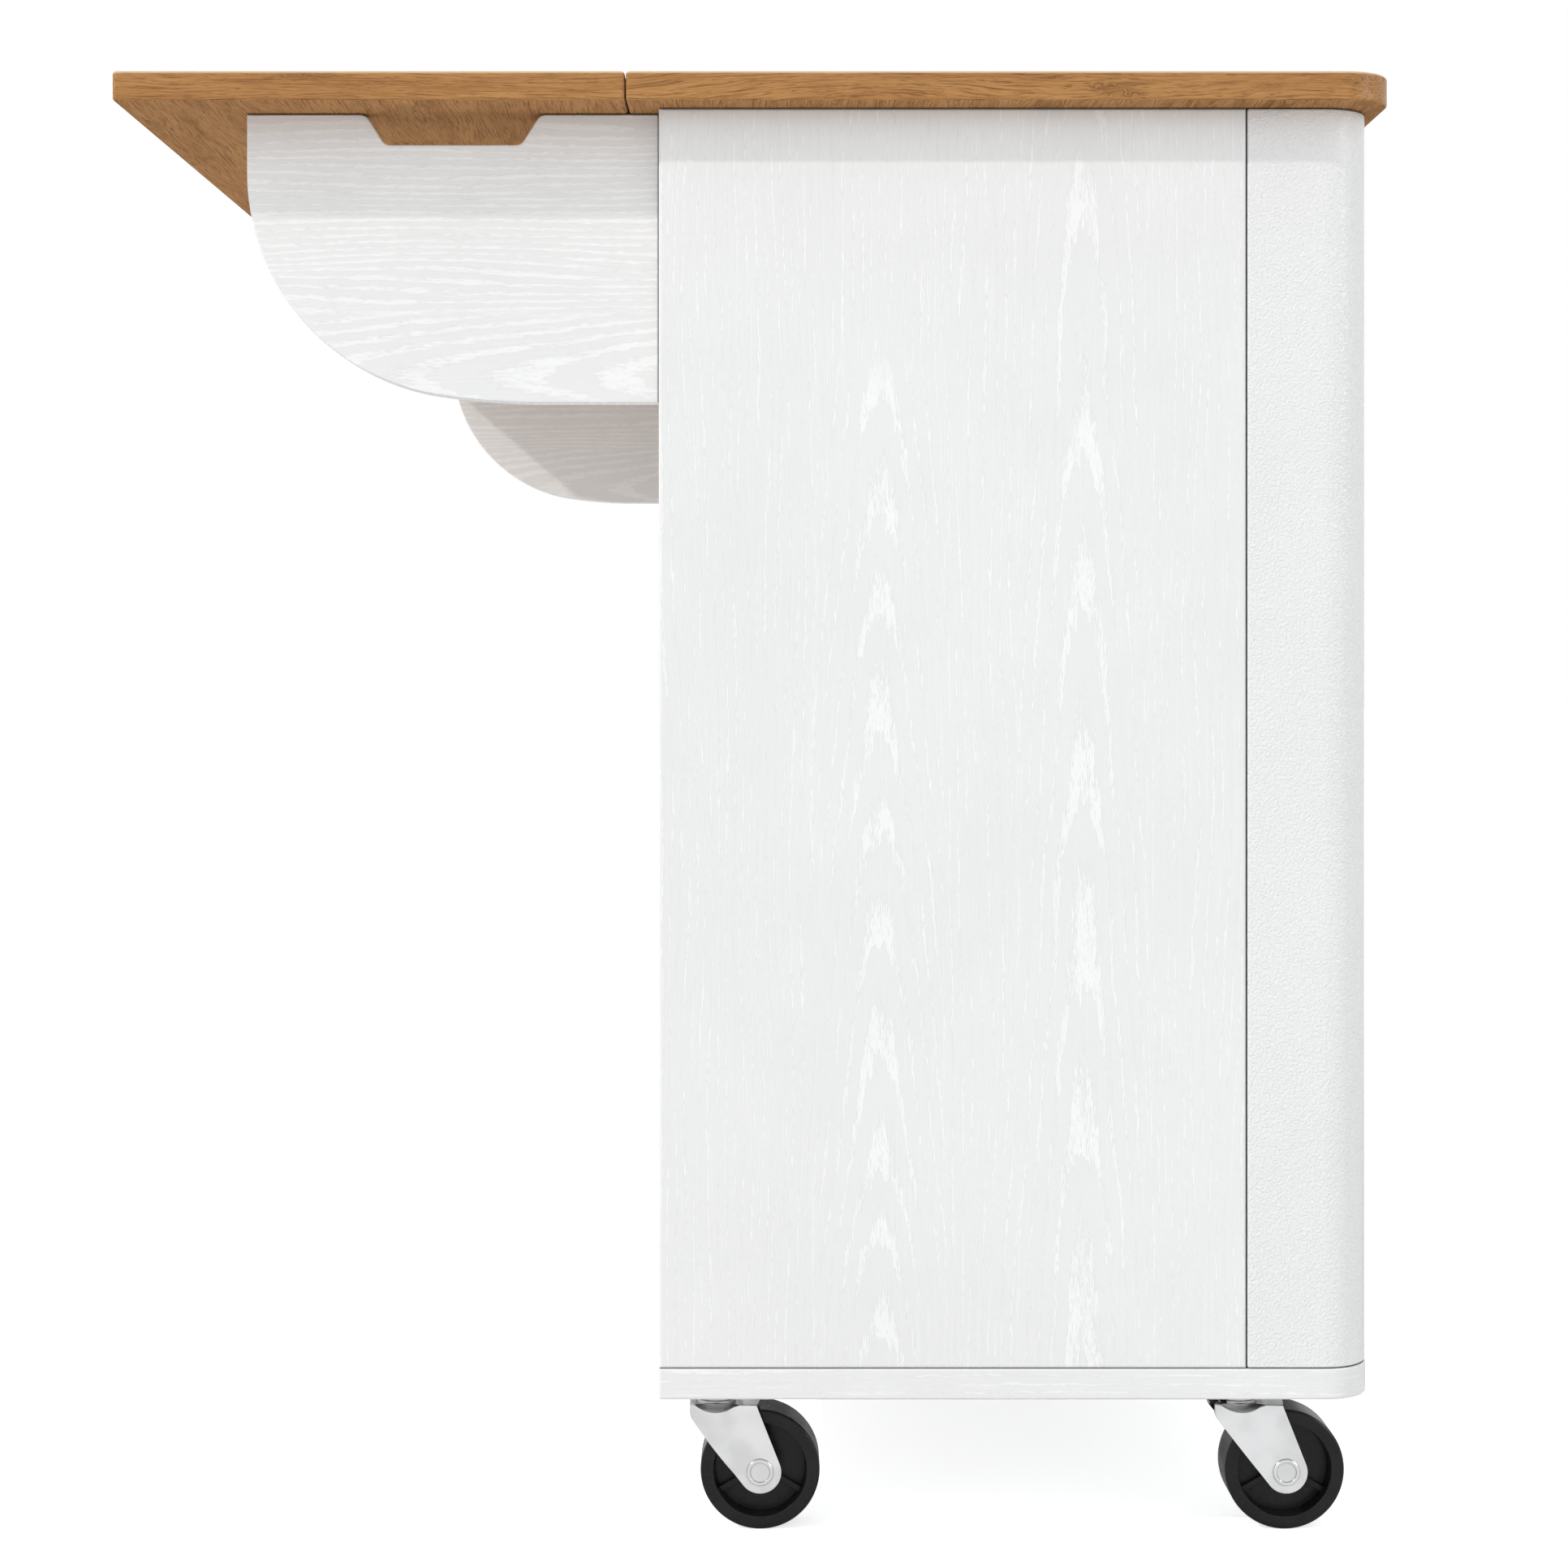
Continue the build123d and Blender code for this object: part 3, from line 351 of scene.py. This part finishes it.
def arch_marks(graph, across, along, torn, pores, breaks, figure, seed, fill):
    """Where one figure lies, and its arches.

    A figure is its middle across the grain, one arch's place along it, its slope and its top."""
    centre, start, slope, top = figure
    offset = graph.sub(across, centre)
    slow_place = graph.point(centre * 40.0, graph.mul(along, 1.0 / FIGURE_SWAY_SIZE), seed)
    slow = graph.centred(graph.noise(slow_place, 1.0, 1.0), FIGURE_SWAY)
    climb = graph.add(graph.mul(graph.sub(along, start), slope), slow)
    square = graph.add(graph.mul(offset, offset), FIGURE_FLAT * FIGURE_FLAT)
    radius = graph.add(graph.add(graph.math("SQRT", square), climb), torn)
    reach = graph.add(graph.math("ABSOLUTE", offset), graph.mul(torn, 4.0))
    width = graph.ramp(reach, *FIGURE_CORE, RING_FILL_BOLD, fill)
    turn = RING_TURN - FIGURE_FLAT / RING_SPACING
    arches = ring_marks(graph, radius, pores, breaks, width, turn)
    beside = graph.ramp(reach, FIGURE_WIDTH - FIGURE_RIM, FIGURE_WIDTH + FIGURE_RIM, 1.0, 0.0)
    below_top = graph.ramp(along, top - FIGURE_FADE, top, 1.0, 0.0)
    return graph.mul(beside, below_top), arches


def ring_marks(graph, radius, pores, breaks, width, turn):
    """Pores crowd at the start of each ring and thin out over its given share."""
    ring = graph.math("FRACT", graph.add(graph.mul(radius, 1.0 / RING_SPACING), turn))
    rise = graph.ramp(ring, 0.0, 0.06)
    fade = graph.ramp(ring, graph.mul(width, 0.35), width, 1.0, 0.0)
    least = graph.ramp(width, RING_FILL, RING_FILL_BOLD, 0.45, 0.75)
    share = graph.ramp(breaks, 0.30, 0.62, least, 1.0)
    crowd = graph.mul(graph.mul(rise, fade), share)
    crowded = graph.ramp(width, RING_FILL, RING_FILL_BOLD, 0.42, 0.36)
    limit = graph.mix(crowd, 0.78, crowded)
    return graph.ramp(graph.sub(pores, limit), -0.05, 0.07)


def white_board(name, layout, figures, seed=0.0, fill=RING_FILL):
    """White foil pressed with an open wood grain."""
    graph = Graph(name)
    place = board_axes(graph, layout)
    marks = pressed_grain(graph, place, figures, seed, fill)
    cloud = graph.noise(graph.point(*place), 9.0, 2.0)
    colour = graph.blend(marks, WHITE_FOIL, WHITE_PORE)
    colour = graph.mottled(colour, cloud, 0.985, 1.01)
    # Painted shade: the foil turns grey in narrow corners, such as under the worktop's overhang
    colour = graph.shaded_in_corners(colour, 0.75, CREASE_BOARD, BOARD_PAINTED_SHADE)
    skin = graph.noise(graph.point(*place), 900.0, 2.0)
    normal = graph.bump(skin, FOIL_SKIN_DEPTH)
    normal = graph.bump(marks, FOIL_PORE_DEPTH, under=normal)
    return graph.finish(colour, graph.mix(marks, 0.40, 0.50), normal, Specular_IOR_Level=0.3)


def make_post_material():
    """White foil with a pebbled skin, a little glossy."""
    graph = Graph("white_textured_post")
    place = graph.point(*graph.axes())
    pebbles = graph.noise(place, PEBBLE_SCALE, 2.0, 0.45, 0.5)
    fine = graph.noise(place, PEBBLE_FINE_SCALE, 2.0)
    skin = graph.add(graph.ramp(pebbles, 0.28, 0.68), graph.mul(fine, 0.18))
    colour = graph.mottled(WHITE_POST, graph.noise(place, 14.0, 2.0), 0.99, 1.006)
    # Painted shade: the pebbled foil turns grey in narrow corners
    colour = graph.shaded_in_corners(colour, 0.75, CREASE_BOARD, BOARD_PAINTED_SHADE)
    roughness = graph.ramp(pebbles, 0.3, 0.7, 0.17, 0.24)
    return graph.finish(colour, roughness, graph.bump(skin, PEBBLE_DEPTH), Specular_IOR_Level=0.5)


def oak_grain_place(graph):
    """The place on an oak board with its grain swayed and swirled, and how knotty it is there."""
    across, along, depth = board_axes(graph, LEVEL)
    place = (across, along, depth)
    knots = graph.ramp(graph.grain(place, OAK_KNOTS, 1.0), 0.60, 0.76)
    sway = graph.grain(place, OAK_SWAY, 2.0)
    waver = graph.centred(graph.grain(place, OAK_WAVER, 2.0), OAK_WAVER_REACH)
    swirl = graph.grain(place, OAK_SWIRL, 2.0)
    shift = graph.add(graph.centred(sway, OAK_SWAY_REACH), waver)
    knotted = graph.mul(graph.mul(graph.sub(swirl, 0.5), knots), OAK_SWIRL_REACH)
    bent = graph.add(across, graph.add(shift, knotted))
    return place, (bent, along, depth), knots, sway


def oak_flame(graph, bent, sway):
    """Growth rings that darken slowly and end sharply, from 0 to 1."""
    ring = graph.mul(graph.add(bent, graph.mul(sway, 0.05)), 1.0 / OAK_RING)
    ring = graph.math("FRACT", ring)
    return graph.mul(graph.ramp(ring, 0.0, 0.9), graph.ramp(ring, 0.9, 1.0, 1.0, 0.0))


def make_oak_material():
    """Golden brown oak foil: fine dark fibres, broad figure, knotty swirls and a painted highlight
    on the upward-facing rounded rim.
    """
    graph = Graph("oak_top")
    place, bent_place, knots, sway = oak_grain_place(graph)
    bent, along, depth = bent_place
    normal = graph.node("ShaderNodeTexCoord").outputs["Normal"]
    level = graph.node("ShaderNodeSeparateXYZ", {0: normal}).outputs[2]
    flat = graph.math("GREATER_THAN", graph.math("ABSOLUTE", level), SQUARE_ON)
    below = graph.math("LESS_THAN", level, -SQUARE_ON)
    upper = graph.math("GREATER_THAN", level, SQUARE_ON)
    broad = graph.grain(bent_place, OAK_BROAD, 3.0, 0.6)
    lines = graph.grain(bent_place, OAK_LINES, 3.0, 0.62)
    pale = graph.grain((bent, along, graph.add(depth, 3.0)), OAK_STREAKS, 2.0, 0.6)
    short = graph.grain(bent_place, OAK_SHORT_PORES, 2.0, 0.6)
    long = graph.grain(place, OAK_LONG_PORES, 2.0, 0.6)
    plank = graph.grain(bent_place, OAK_PLANK_PORES, 2.0, 0.6)
    pores = graph.mix(flat, short, graph.mix(below, plank, long))
    colour = graph.blend(graph.ramp(broad, 0.34, 0.64), OAK_MID, OAK_PALE)
    colour = graph.blend(graph.mul(graph.ramp(pale, 0.52, 0.68), 0.45), colour, OAK_LIGHT)
    colour = graph.blend(graph.mul(graph.ramp(lines, 0.48, 0.66), 0.62), colour, OAK_DARK)
    colour = graph.blend(graph.mul(graph.ramp(pores, 0.54, 0.68), 0.60), colour, OAK_DARK)
    colour = graph.blend(graph.mul(knots, 0.28), colour, OAK_DARK)
    colour = graph.blend(graph.sub(1.0, flat), colour, OAK_EDGE_TONE, "MULTIPLY")
    flame = graph.mul(oak_flame(graph, bent, sway), upper)
    colour = graph.blend(graph.mul(flame, 0.30), colour, OAK_DARK)
    # Painted highlight: the rounded rim that faces upward is made paler, standing in for light
    # falling on it
    rim_highlight = graph.mul(graph.ramp(level, 0.12, 0.45), graph.ramp(level, 0.80, 0.98, 1.0, 0.0))
    colour = graph.blend(graph.mul(rim_highlight, 0.55), colour, OAK_RIM_HIGHLIGHT)
    height = graph.add(graph.mul(lines, -0.6), graph.mul(pores, -0.8))
    roughness = graph.mix(below, graph.ramp(lines, 0.35, 0.7, 0.28, 0.42), 1.0)
    return graph.finish(colour, roughness, graph.bump(height, OAK_DEPTH), Specular_IOR_Level=0.24)


def make_inner_material():
    """Plain white laminate with a faint mottle."""
    graph = Graph("white_inner_board")
    place = graph.point(*graph.axes())
    cloud = graph.noise(place, 12.0, 2.0)
    colour = graph.mottled(WHITE_INSIDE, cloud, 0.98, 1.01)
    normal = graph.bump(graph.noise(place, 1400.0, 2.0), 0.00003)
    return graph.finish(colour, graph.ramp(cloud, 0.3, 0.7, 0.45, 0.52), normal)


def make_hardboard_material():
    """White faced hardboard with the faint mesh of its press."""
    graph = Graph("drawer_bottom_board")
    x, y, z = graph.axes()
    weave_x = graph.math("SINE", graph.mul(x, HARDBOARD_WEAVE))
    weave_y = graph.math("SINE", graph.mul(y, HARDBOARD_WEAVE))
    weave = graph.mul(weave_x, weave_y)
    cloud = graph.noise(graph.point(x, y, z), 15.0, 2.0)
    colour = graph.mottled(WHITE_INSIDE, cloud, 0.97, 1.01)
    return graph.finish(colour, graph.ramp(cloud, 0.3, 0.7, 0.5, 0.6), graph.bump(weave, 0.00003))


def metal(name, colour, rough_low, rough_high, stretch, depth):
    """Steel with fine drawn lines, their size given along X, Y and Z, and painted shade in its
    creases.
    """
    graph = Graph(name)
    x, y, z = graph.axes()
    size_x, size_y, size_z = stretch
    place = graph.point(graph.mul(x, 1 / size_x), graph.mul(y, 1 / size_y), graph.mul(z, 1 / size_z))
    lines = graph.noise(place, 1.0, 3.0, 0.6)
    cloud = graph.noise(graph.point(x, y, z), 45.0, 2.0)
    dull = tuple(0.86 * part for part in colour)
    tone = graph.blend(graph.ramp(cloud, 0.35, 0.7), colour, dull)
    # Painted shade: the steel turns dark in its narrow creases
    tone = graph.shaded_in_corners(tone, 0.85, CREASE_STEEL, STEEL_PAINTED_SHADE)
    scratched = graph.add(graph.mul(lines, 0.6), graph.mul(cloud, 0.4))
    roughness = graph.ramp(scratched, 0.3, 0.7, rough_low, rough_high)
    normal = graph.bump(lines, depth, under=graph.eased(EDGE_GLINT))
    return graph.finish(tone, roughness, normal, Metallic=1.0)


def black_plastic(name, rough_low, rough_high):
    """Satin black moulding with a fine spark-eroded skin, and painted shade in its recesses."""
    graph = Graph(name)
    place = graph.point(*graph.axes())
    skin = graph.noise(place, 1500.0, 2.0)
    cloud = graph.noise(place, 60.0, 3.0)
    colour = graph.blend(graph.ramp(cloud, 0.35, 0.7), BLACK_DEEP, BLACK_WORN)
    # Painted shade: the plastic turns near black in narrow corners and recesses
    colour = graph.blend(graph.crease(CREASE_PLASTIC), colour, BLACK_PAINTED_SHADE)
    roughness = graph.ramp(cloud, 0.3, 0.7, rough_low, rough_high)
    normal = graph.bump(skin, 0.00002, under=graph.eased(EDGE_GLINT))
    return graph.finish(colour, roughness, normal, Specular_IOR_Level=0.27)


def dress_nodes():
    """Gives every node of the frame its material."""
    end_figures = [(-0.0706, 0.700, 0.080, 0.760), (-0.197, 0.796, 0.046, 1.0)]
    end_board = white_board("white_end_board", UPRIGHT, end_figures)
    back_figures = [(-0.42, 0.30, 0.07, 0.70), (-0.12, 0.55, 0.05, 1.0), (0.30, 0.40, 0.06, 0.82)]
    back_board = white_board("white_back_board", UPRIGHT, back_figures, 3.0)
    base = white_board("white_base_board", LEVEL, [], 5.0, 0.60)
    wing = white_board("white_wing", LEVEL, [(0.7296, 0.135, 0.076, 1.0)], 7.0, RING_FILL_BOLD)
    front_figures = [(-0.42, 0.30, 0.06, 0.60), (0.33, 0.45, 0.06, 0.66)]
    front = white_board("white_front", UPRIGHT, front_figures, 9.0)
    level_front = white_board("white_level_front", LEVEL, [], 11.0)
    post = make_post_material()
    oak = make_oak_material()
    inner = make_inner_material()
    hardboard = make_hardboard_material()
    zinc = metal("zinc_steel", (0.62, 0.63, 0.64), 0.28, 0.42, (0.004, 0.05, 0.004), 0.00003)
    handle = metal("handle_steel", (0.60, 0.60, 0.60), 0.24, 0.34, (0.0006, 0.0006, 0.0006), 0.00002)
    hinge = metal("hinge_steel", (0.58, 0.58, 0.58), 0.25, 0.36, (0.001, 0.001, 0.006), 0.00002)
    bright = metal("caster_steel", (0.84, 0.84, 0.845), 0.15, 0.22, (0.004, 0.004, 0.012), 0.00002)
    wheel = black_plastic("wheel_black", 0.24, 0.34)
    pedal = black_plastic("pedal_black", 0.34, 0.46)
    plan = {
        "worktop": oak,
        "drop_leaf": oak,
        "base_board": base,
        "back_panel": back_board,
        "top_rail": level_front,
        "centre_lower_shelf": inner,
        "centre_upper_shelf": inner,
        "shelf_pins": zinc,
        "drawer_runner_rails": zinc,
        "door_hinge_plates": hinge,
        "leaf_hinge_plates": hinge,
        "leaf_hinge_leaves": hinge,
        "wing_hinge_plates": hinge,
        "caster_plates": bright,
    }
    paired = {
        "end_panel": end_board,
        "corner_post": post,
        "partition": inner,
        "drawer_rail": level_front,
        "runner_batten": inner,
        "shelf": inner,
        "drawer_front": level_front,
        "drawer_outer_side": inner,
        "drawer_inner_side": inner,
        "drawer_back": inner,
        "drawer_bottom": hardboard,
        "drawer_runners": zinc,
        "drawer_handle": handle,
        "door": front,
        "door_handle": handle,
        "door_hinge_leaves": hinge,
        "wing": wing,
        "wing_hinge_leaves": hinge,
        "back_fork": bright,
        "front_fork": bright,
        "back_wheel": wheel,
        "front_wheel": wheel,
        "brake_pedal": pedal,
    }
    for end in ENDS:
        for name, material in paired.items():
            plan[f"{end}_{name}"] = material
    for name, material in plan.items():
        piece = nodes[name]
        piece.data.materials.clear()
        piece.data.materials.append(material)
    return plan


def loop_at(bm, points, height, shrink=1.0):
    """A closed loop of vertices on a flat outline, and its edges."""
    verts = [bm.verts.new((shrink * x, shrink * y, height)) for x, y in points]
    edges = [bm.edges.new((verts[i - 1], verts[i])) for i in range(len(verts))]
    return verts, edges


def wall(bm, lower, upper):
    """Faces between two loops of the same length."""
    for i in range(len(lower)):
        bm.faces.new((lower[i - 1], lower[i], upper[i], upper[i - 1]))


def screw_mesh(radius, height):
    """A screw head on the XY plane, with a bevelled rim and a cross recess."""
    turns = [2 * math.pi * i / SCREW_SIDES for i in range(SCREW_SIDES)]
    circle = [(radius * math.cos(turn), radius * math.sin(turn)) for turn in turns]
    arm = CROSS_ARM * radius
    half = CROSS_WIDTH * radius
    quarter = [(arm, -half), (arm, half), (half, half)]
    cross = []
    for sine, cosine in ((0, 1), (1, 0), (0, -1), (-1, 0)):
        cross += [(x * cosine - y * sine, x * sine + y * cosine) for x, y in quarter]
    bm = bmesh.new()
    foot, _ = loop_at(bm, circle, 0.0)
    side, _ = loop_at(bm, circle, 0.6 * height)
    top, top_edges = loop_at(bm, circle, height, SCREW_FACE)
    mouth, mouth_edges = loop_at(bm, cross, height)
    floor, _ = loop_at(bm, cross, 0.25 * height, CROSS_TAPER)
    wall(bm, foot, side)
    wall(bm, side, top)
    wall(bm, floor, mouth)
    bmesh.ops.triangle_fill(bm, edges=top_edges + mouth_edges, use_beauty=True)
    bm.faces.new(floor)
    bmesh.ops.recalc_face_normals(bm, faces=bm.faces)
    mesh = bpy.data.meshes.new("screw")
    bm.to_mesh(mesh)
    bm.free()
    return mesh


def add_screws(name, body, head, places, direction, material):
    """Sets a screw head at each place, facing one direction, and joins them into one piece."""
    turn = Vector(direction).to_track_quat("Z", "Y").to_matrix().to_4x4()
    bm = bmesh.new()
    for place in places:
        start = len(bm.verts)
        bm.from_mesh(head)
        bm.verts.ensure_lookup_table()
        bmesh.ops.transform(bm, matrix=Matrix.Translation(place) @ turn, verts=bm.verts[start:])
    mesh = bpy.data.meshes.new(name)
    bm.to_mesh(mesh)
    bm.free()
    mesh.materials.append(material)
    screws = bpy.data.objects.new(name, mesh)
    bpy.context.scene.collection.objects.link(screws)
    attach(screws, body)
    return screws


def add_plate_screws(material):
    """Four screws in the corner holes of each caster's top plate."""
    places = []
    for end in ENDS:
        for place in ("back", "front"):
            low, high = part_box(f"{end}_{place}_fork")
            swivel_x = (low[0] + high[0]) / 2
            swivel_y = CASTER_SWIVEL[place]
            for side_x in (-1, 1):
                for side_y in (-1, 1):
                    x = swivel_x + side_x * PLATE_SCREW_OFFSETS[0]
                    y = swivel_y + side_y * PLATE_SCREW_OFFSETS[1]
                    places.append((x, y, PLATE_SCREW_SEAT))
    head = screw_mesh(*PLATE_SCREW)
    add_screws("caster_plate_screws", "carcass", head, places, (0, 0, -1), material)


def add_leaf_screws(material):
    """Two screws through each half of the three hinges under the seam."""
    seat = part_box("drop_leaf")[0][2] - LEAF_PLATE
    seam = (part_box("worktop")[1][1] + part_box("drop_leaf")[0][1]) / 2
    head = screw_mesh(*LEAF_SCREW)
    along, across = LEAF_SCREW_OFFSETS
    for name, body, side in (("fixed", "carcass", -1), ("leaf", "drop_leaf", 1)):
        places = []
        for middle in LEAF_HINGES:
            for end in (-1, 1):
                places.append((middle + end * along, seam + side * across, seat))
        add_screws(f"leaf_hinge_{name}_screws", body, head, places, (0, 0, -1), material)


def add_wing_screws(material):
    """Two screws through each half of the two hinges of each wing, low enough to fold away."""
    head = screw_mesh(*WING_SCREW)
    fixed_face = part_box("back_panel")[1][1] + WING_PLATE
    fixed_places = []
    for end, inward in zip(ENDS, (1, -1)):
        low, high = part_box(f"{end}_wing")
        inner_face = high[0] if inward > 0 else low[0]
        places = []
        for middle in (low[2] + WING_HINGE_MIDDLE, high[2] - WING_HINGE_MIDDLE):
            for side in (-1, 1):
                height = middle + side * WING_SCREW_SPREAD
                places.append((inner_face + inward * WING_PLATE, low[1] + WING_SCREW_REACH, height))
                fixed_places.append((inner_face + inward * WING_SCREW_REACH, fixed_face, height))
        add_screws(f"{end}_wing_hinge_screws", f"{end}_wing", head, places, (inward, 0, 0), material)
    add_screws("wing_hinge_fixed_screws", "carcass", head, fixed_places, (0, 1, 0), material)


def add_handle_screws(material):
    """The two screws behind each bar handle, on the inner face of its door or drawer."""
    head = screw_mesh(*HANDLE_SCREW)
    for end in ENDS:
        for body, board, step in (("drawer", "drawer_front", (1, 0)), ("door", "door", (0, 1))):
            low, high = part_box(f"{end}_{body}_handle")
            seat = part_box(f"{end}_{board}")[1][1]
            places = []
            for side in (-1, 1):
                x = (low[0] + high[0]) / 2 + side * step[0] * HANDLE_POST_REACH
                z = (low[2] + high[2]) / 2 + side * step[1] * HANDLE_POST_REACH
                places.append((x, seat, z))
            name = f"{end}_{body}_handle_screws"
            add_screws(name, f"{end}_{body}", head, places, (0, 1, 0), material)


def make_camera():
    """A camera square to the near end, shifted so that the vanishing point sits where it does."""
    data = bpy.data.cameras.new("camera")
    data.sensor_width = SENSOR
    data.lens = FOCAL_PIXELS * SENSOR / PHOTO_PIXELS
    data.shift_x = (PHOTO_PIXELS / 2 - VANISHING_X) / PHOTO_PIXELS
    data.shift_y = -(PHOTO_PIXELS / 2 - VANISHING_Y) / PHOTO_PIXELS
    camera = bpy.data.objects.new("camera", data)
    camera.location = EYE
    camera.rotation_euler = (math.radians(90), 0, math.radians(-90))
    bpy.context.scene.collection.objects.link(camera)
    bpy.context.scene.camera = camera


def make_sky():
    """A pale sky, brighter at the horizon. The camera sees it as plain white."""
    world = bpy.data.worlds.new("sky")
    bpy.context.scene.world = world
    world.use_nodes = True
    tree = world.node_tree
    tree.nodes.clear()
    place = tree.nodes.new("ShaderNodeTexCoord")
    split = tree.nodes.new("ShaderNodeSeparateXYZ")
    tree.links.new(place.outputs["Generated"], split.inputs[0])
    level = tree.nodes.new("ShaderNodeMapRange")
    tree.links.new(split.outputs[2], level.inputs["Value"])
    level.inputs["To Min"].default_value = SKY_HORIZON
    level.inputs["To Max"].default_value = SKY_ZENITH
    path = tree.nodes.new("ShaderNodeLightPath")
    clear = tree.nodes.new("ShaderNodeMath")
    clear.operation = "MAXIMUM"
    tree.links.new(path.outputs["Is Camera Ray"], clear.inputs[0])
    tree.links.new(path.outputs["Is Transmission Ray"], clear.inputs[1])
    mirrored = tree.nodes.new("ShaderNodeMath")
    mirrored.operation = "MAXIMUM"
    tree.links.new(clear.outputs[0], mirrored.inputs[0])
    tree.links.new(path.outputs["Is Glossy Ray"], mirrored.inputs[1])
    seen = tree.nodes.new("ShaderNodeMix")
    tree.links.new(mirrored.outputs[0], seen.inputs[0])
    tree.links.new(level.outputs[0], seen.inputs[2])
    seen.inputs[3].default_value = 1.0
    sky = tree.nodes.new("ShaderNodeBackground")
    tint = tree.nodes.new("ShaderNodeMix")
    tint.data_type = "RGBA"
    tree.links.new(mirrored.outputs[0], tint.inputs[0])
    tint.inputs[6].default_value = (*SKY_TINT, 1.0)
    tint.inputs[7].default_value = (1.0, 1.0, 1.0, 1.0)
    tree.links.new(tint.outputs[2], sky.inputs["Color"])
    tree.links.new(seen.outputs[0], sky.inputs["Strength"])
    out = tree.nodes.new("ShaderNodeOutputWorld")
    tree.links.new(sky.outputs[0], out.inputs["Surface"])


def make_sun():
    data = bpy.data.lights.new("sun", "SUN")
    data.energy = SUN_STRENGTH
    data.color = SUN_TINT
    data.angle = SUN_SPREAD
    sun = bpy.data.objects.new("sun", data)
    sun.rotation_mode = "QUATERNION"
    sun.rotation_quaternion = SUN_TRAVEL.to_track_quat("-Z", "Y")
    bpy.context.scene.collection.objects.link(sun)


def make_softbox():
    """An upright soft light that gives the rounded corners their highlight."""
    data = bpy.data.lights.new("softbox", "AREA")
    data.shape = "RECTANGLE"
    data.size, data.size_y = SOFTBOX_SIZE
    data.energy = SOFTBOX_POWER
    box = bpy.data.objects.new("softbox", data)
    box.visible_diffuse = False
    box.location = SOFTBOX_PLACE
    box.rotation_mode = "QUATERNION"
    toward = SOFTBOX_TARGET - SOFTBOX_PLACE
    box.rotation_quaternion = toward.to_track_quat("-Z", "Y")
    bpy.context.scene.collection.objects.link(box)


def make_floor():
    """A plain pale floor that keeps a faint shadow."""
    mesh = bpy.data.meshes.new("floor")
    size = FLOOR_HALF_SIZE
    corners = [(-size, -size, 0), (size, -size, 0), (size, size, 0), (-size, size, 0)]
    mesh.from_pydata(corners, [], [(0, 1, 2, 3)])
    floor = bpy.data.objects.new("floor", mesh)
    bpy.context.scene.collection.objects.link(floor)
    graph = Graph("floor")
    path = graph.node("ShaderNodeLightPath")
    camera = path.outputs["Is Camera Ray"]
    mirrored = path.outputs["Is Glossy Ray"]
    looked_at = graph.math("MAXIMUM", camera, mirrored)
    albedo = graph.mix(looked_at, FLOOR_ALBEDO, FLOOR_ALBEDO_SEEN)
    diffuse = graph.node("ShaderNodeBsdfDiffuse", {"Color": graph.point(albedo, albedo, albedo)})
    glow = graph.mul(camera, FLOOR_GLOW_SEEN)
    glow = graph.add(glow, graph.mul(mirrored, FLOOR_GLOW_MIRRORED))
    glow = graph.node("ShaderNodeEmission", {"Color": (1.0, 1.0, 1.0, 1.0), "Strength": glow})
    lit = graph.node("ShaderNodeAddShader", {0: diffuse.outputs[0], 1: glow.outputs[0]})
    graph.node("ShaderNodeOutputMaterial", {"Surface": lit.outputs[0]})
    mesh.materials.append(graph.material)


bpy.context.scene.view_settings.view_transform = "Standard"
plan = dress_nodes()
steel = plan["shelf_pins"]
add_plate_screws(steel)
add_leaf_screws(steel)
add_wing_screws(steel)
add_handle_screws(steel)
make_camera()
make_sky()
make_sun()
make_softbox()
make_floor()
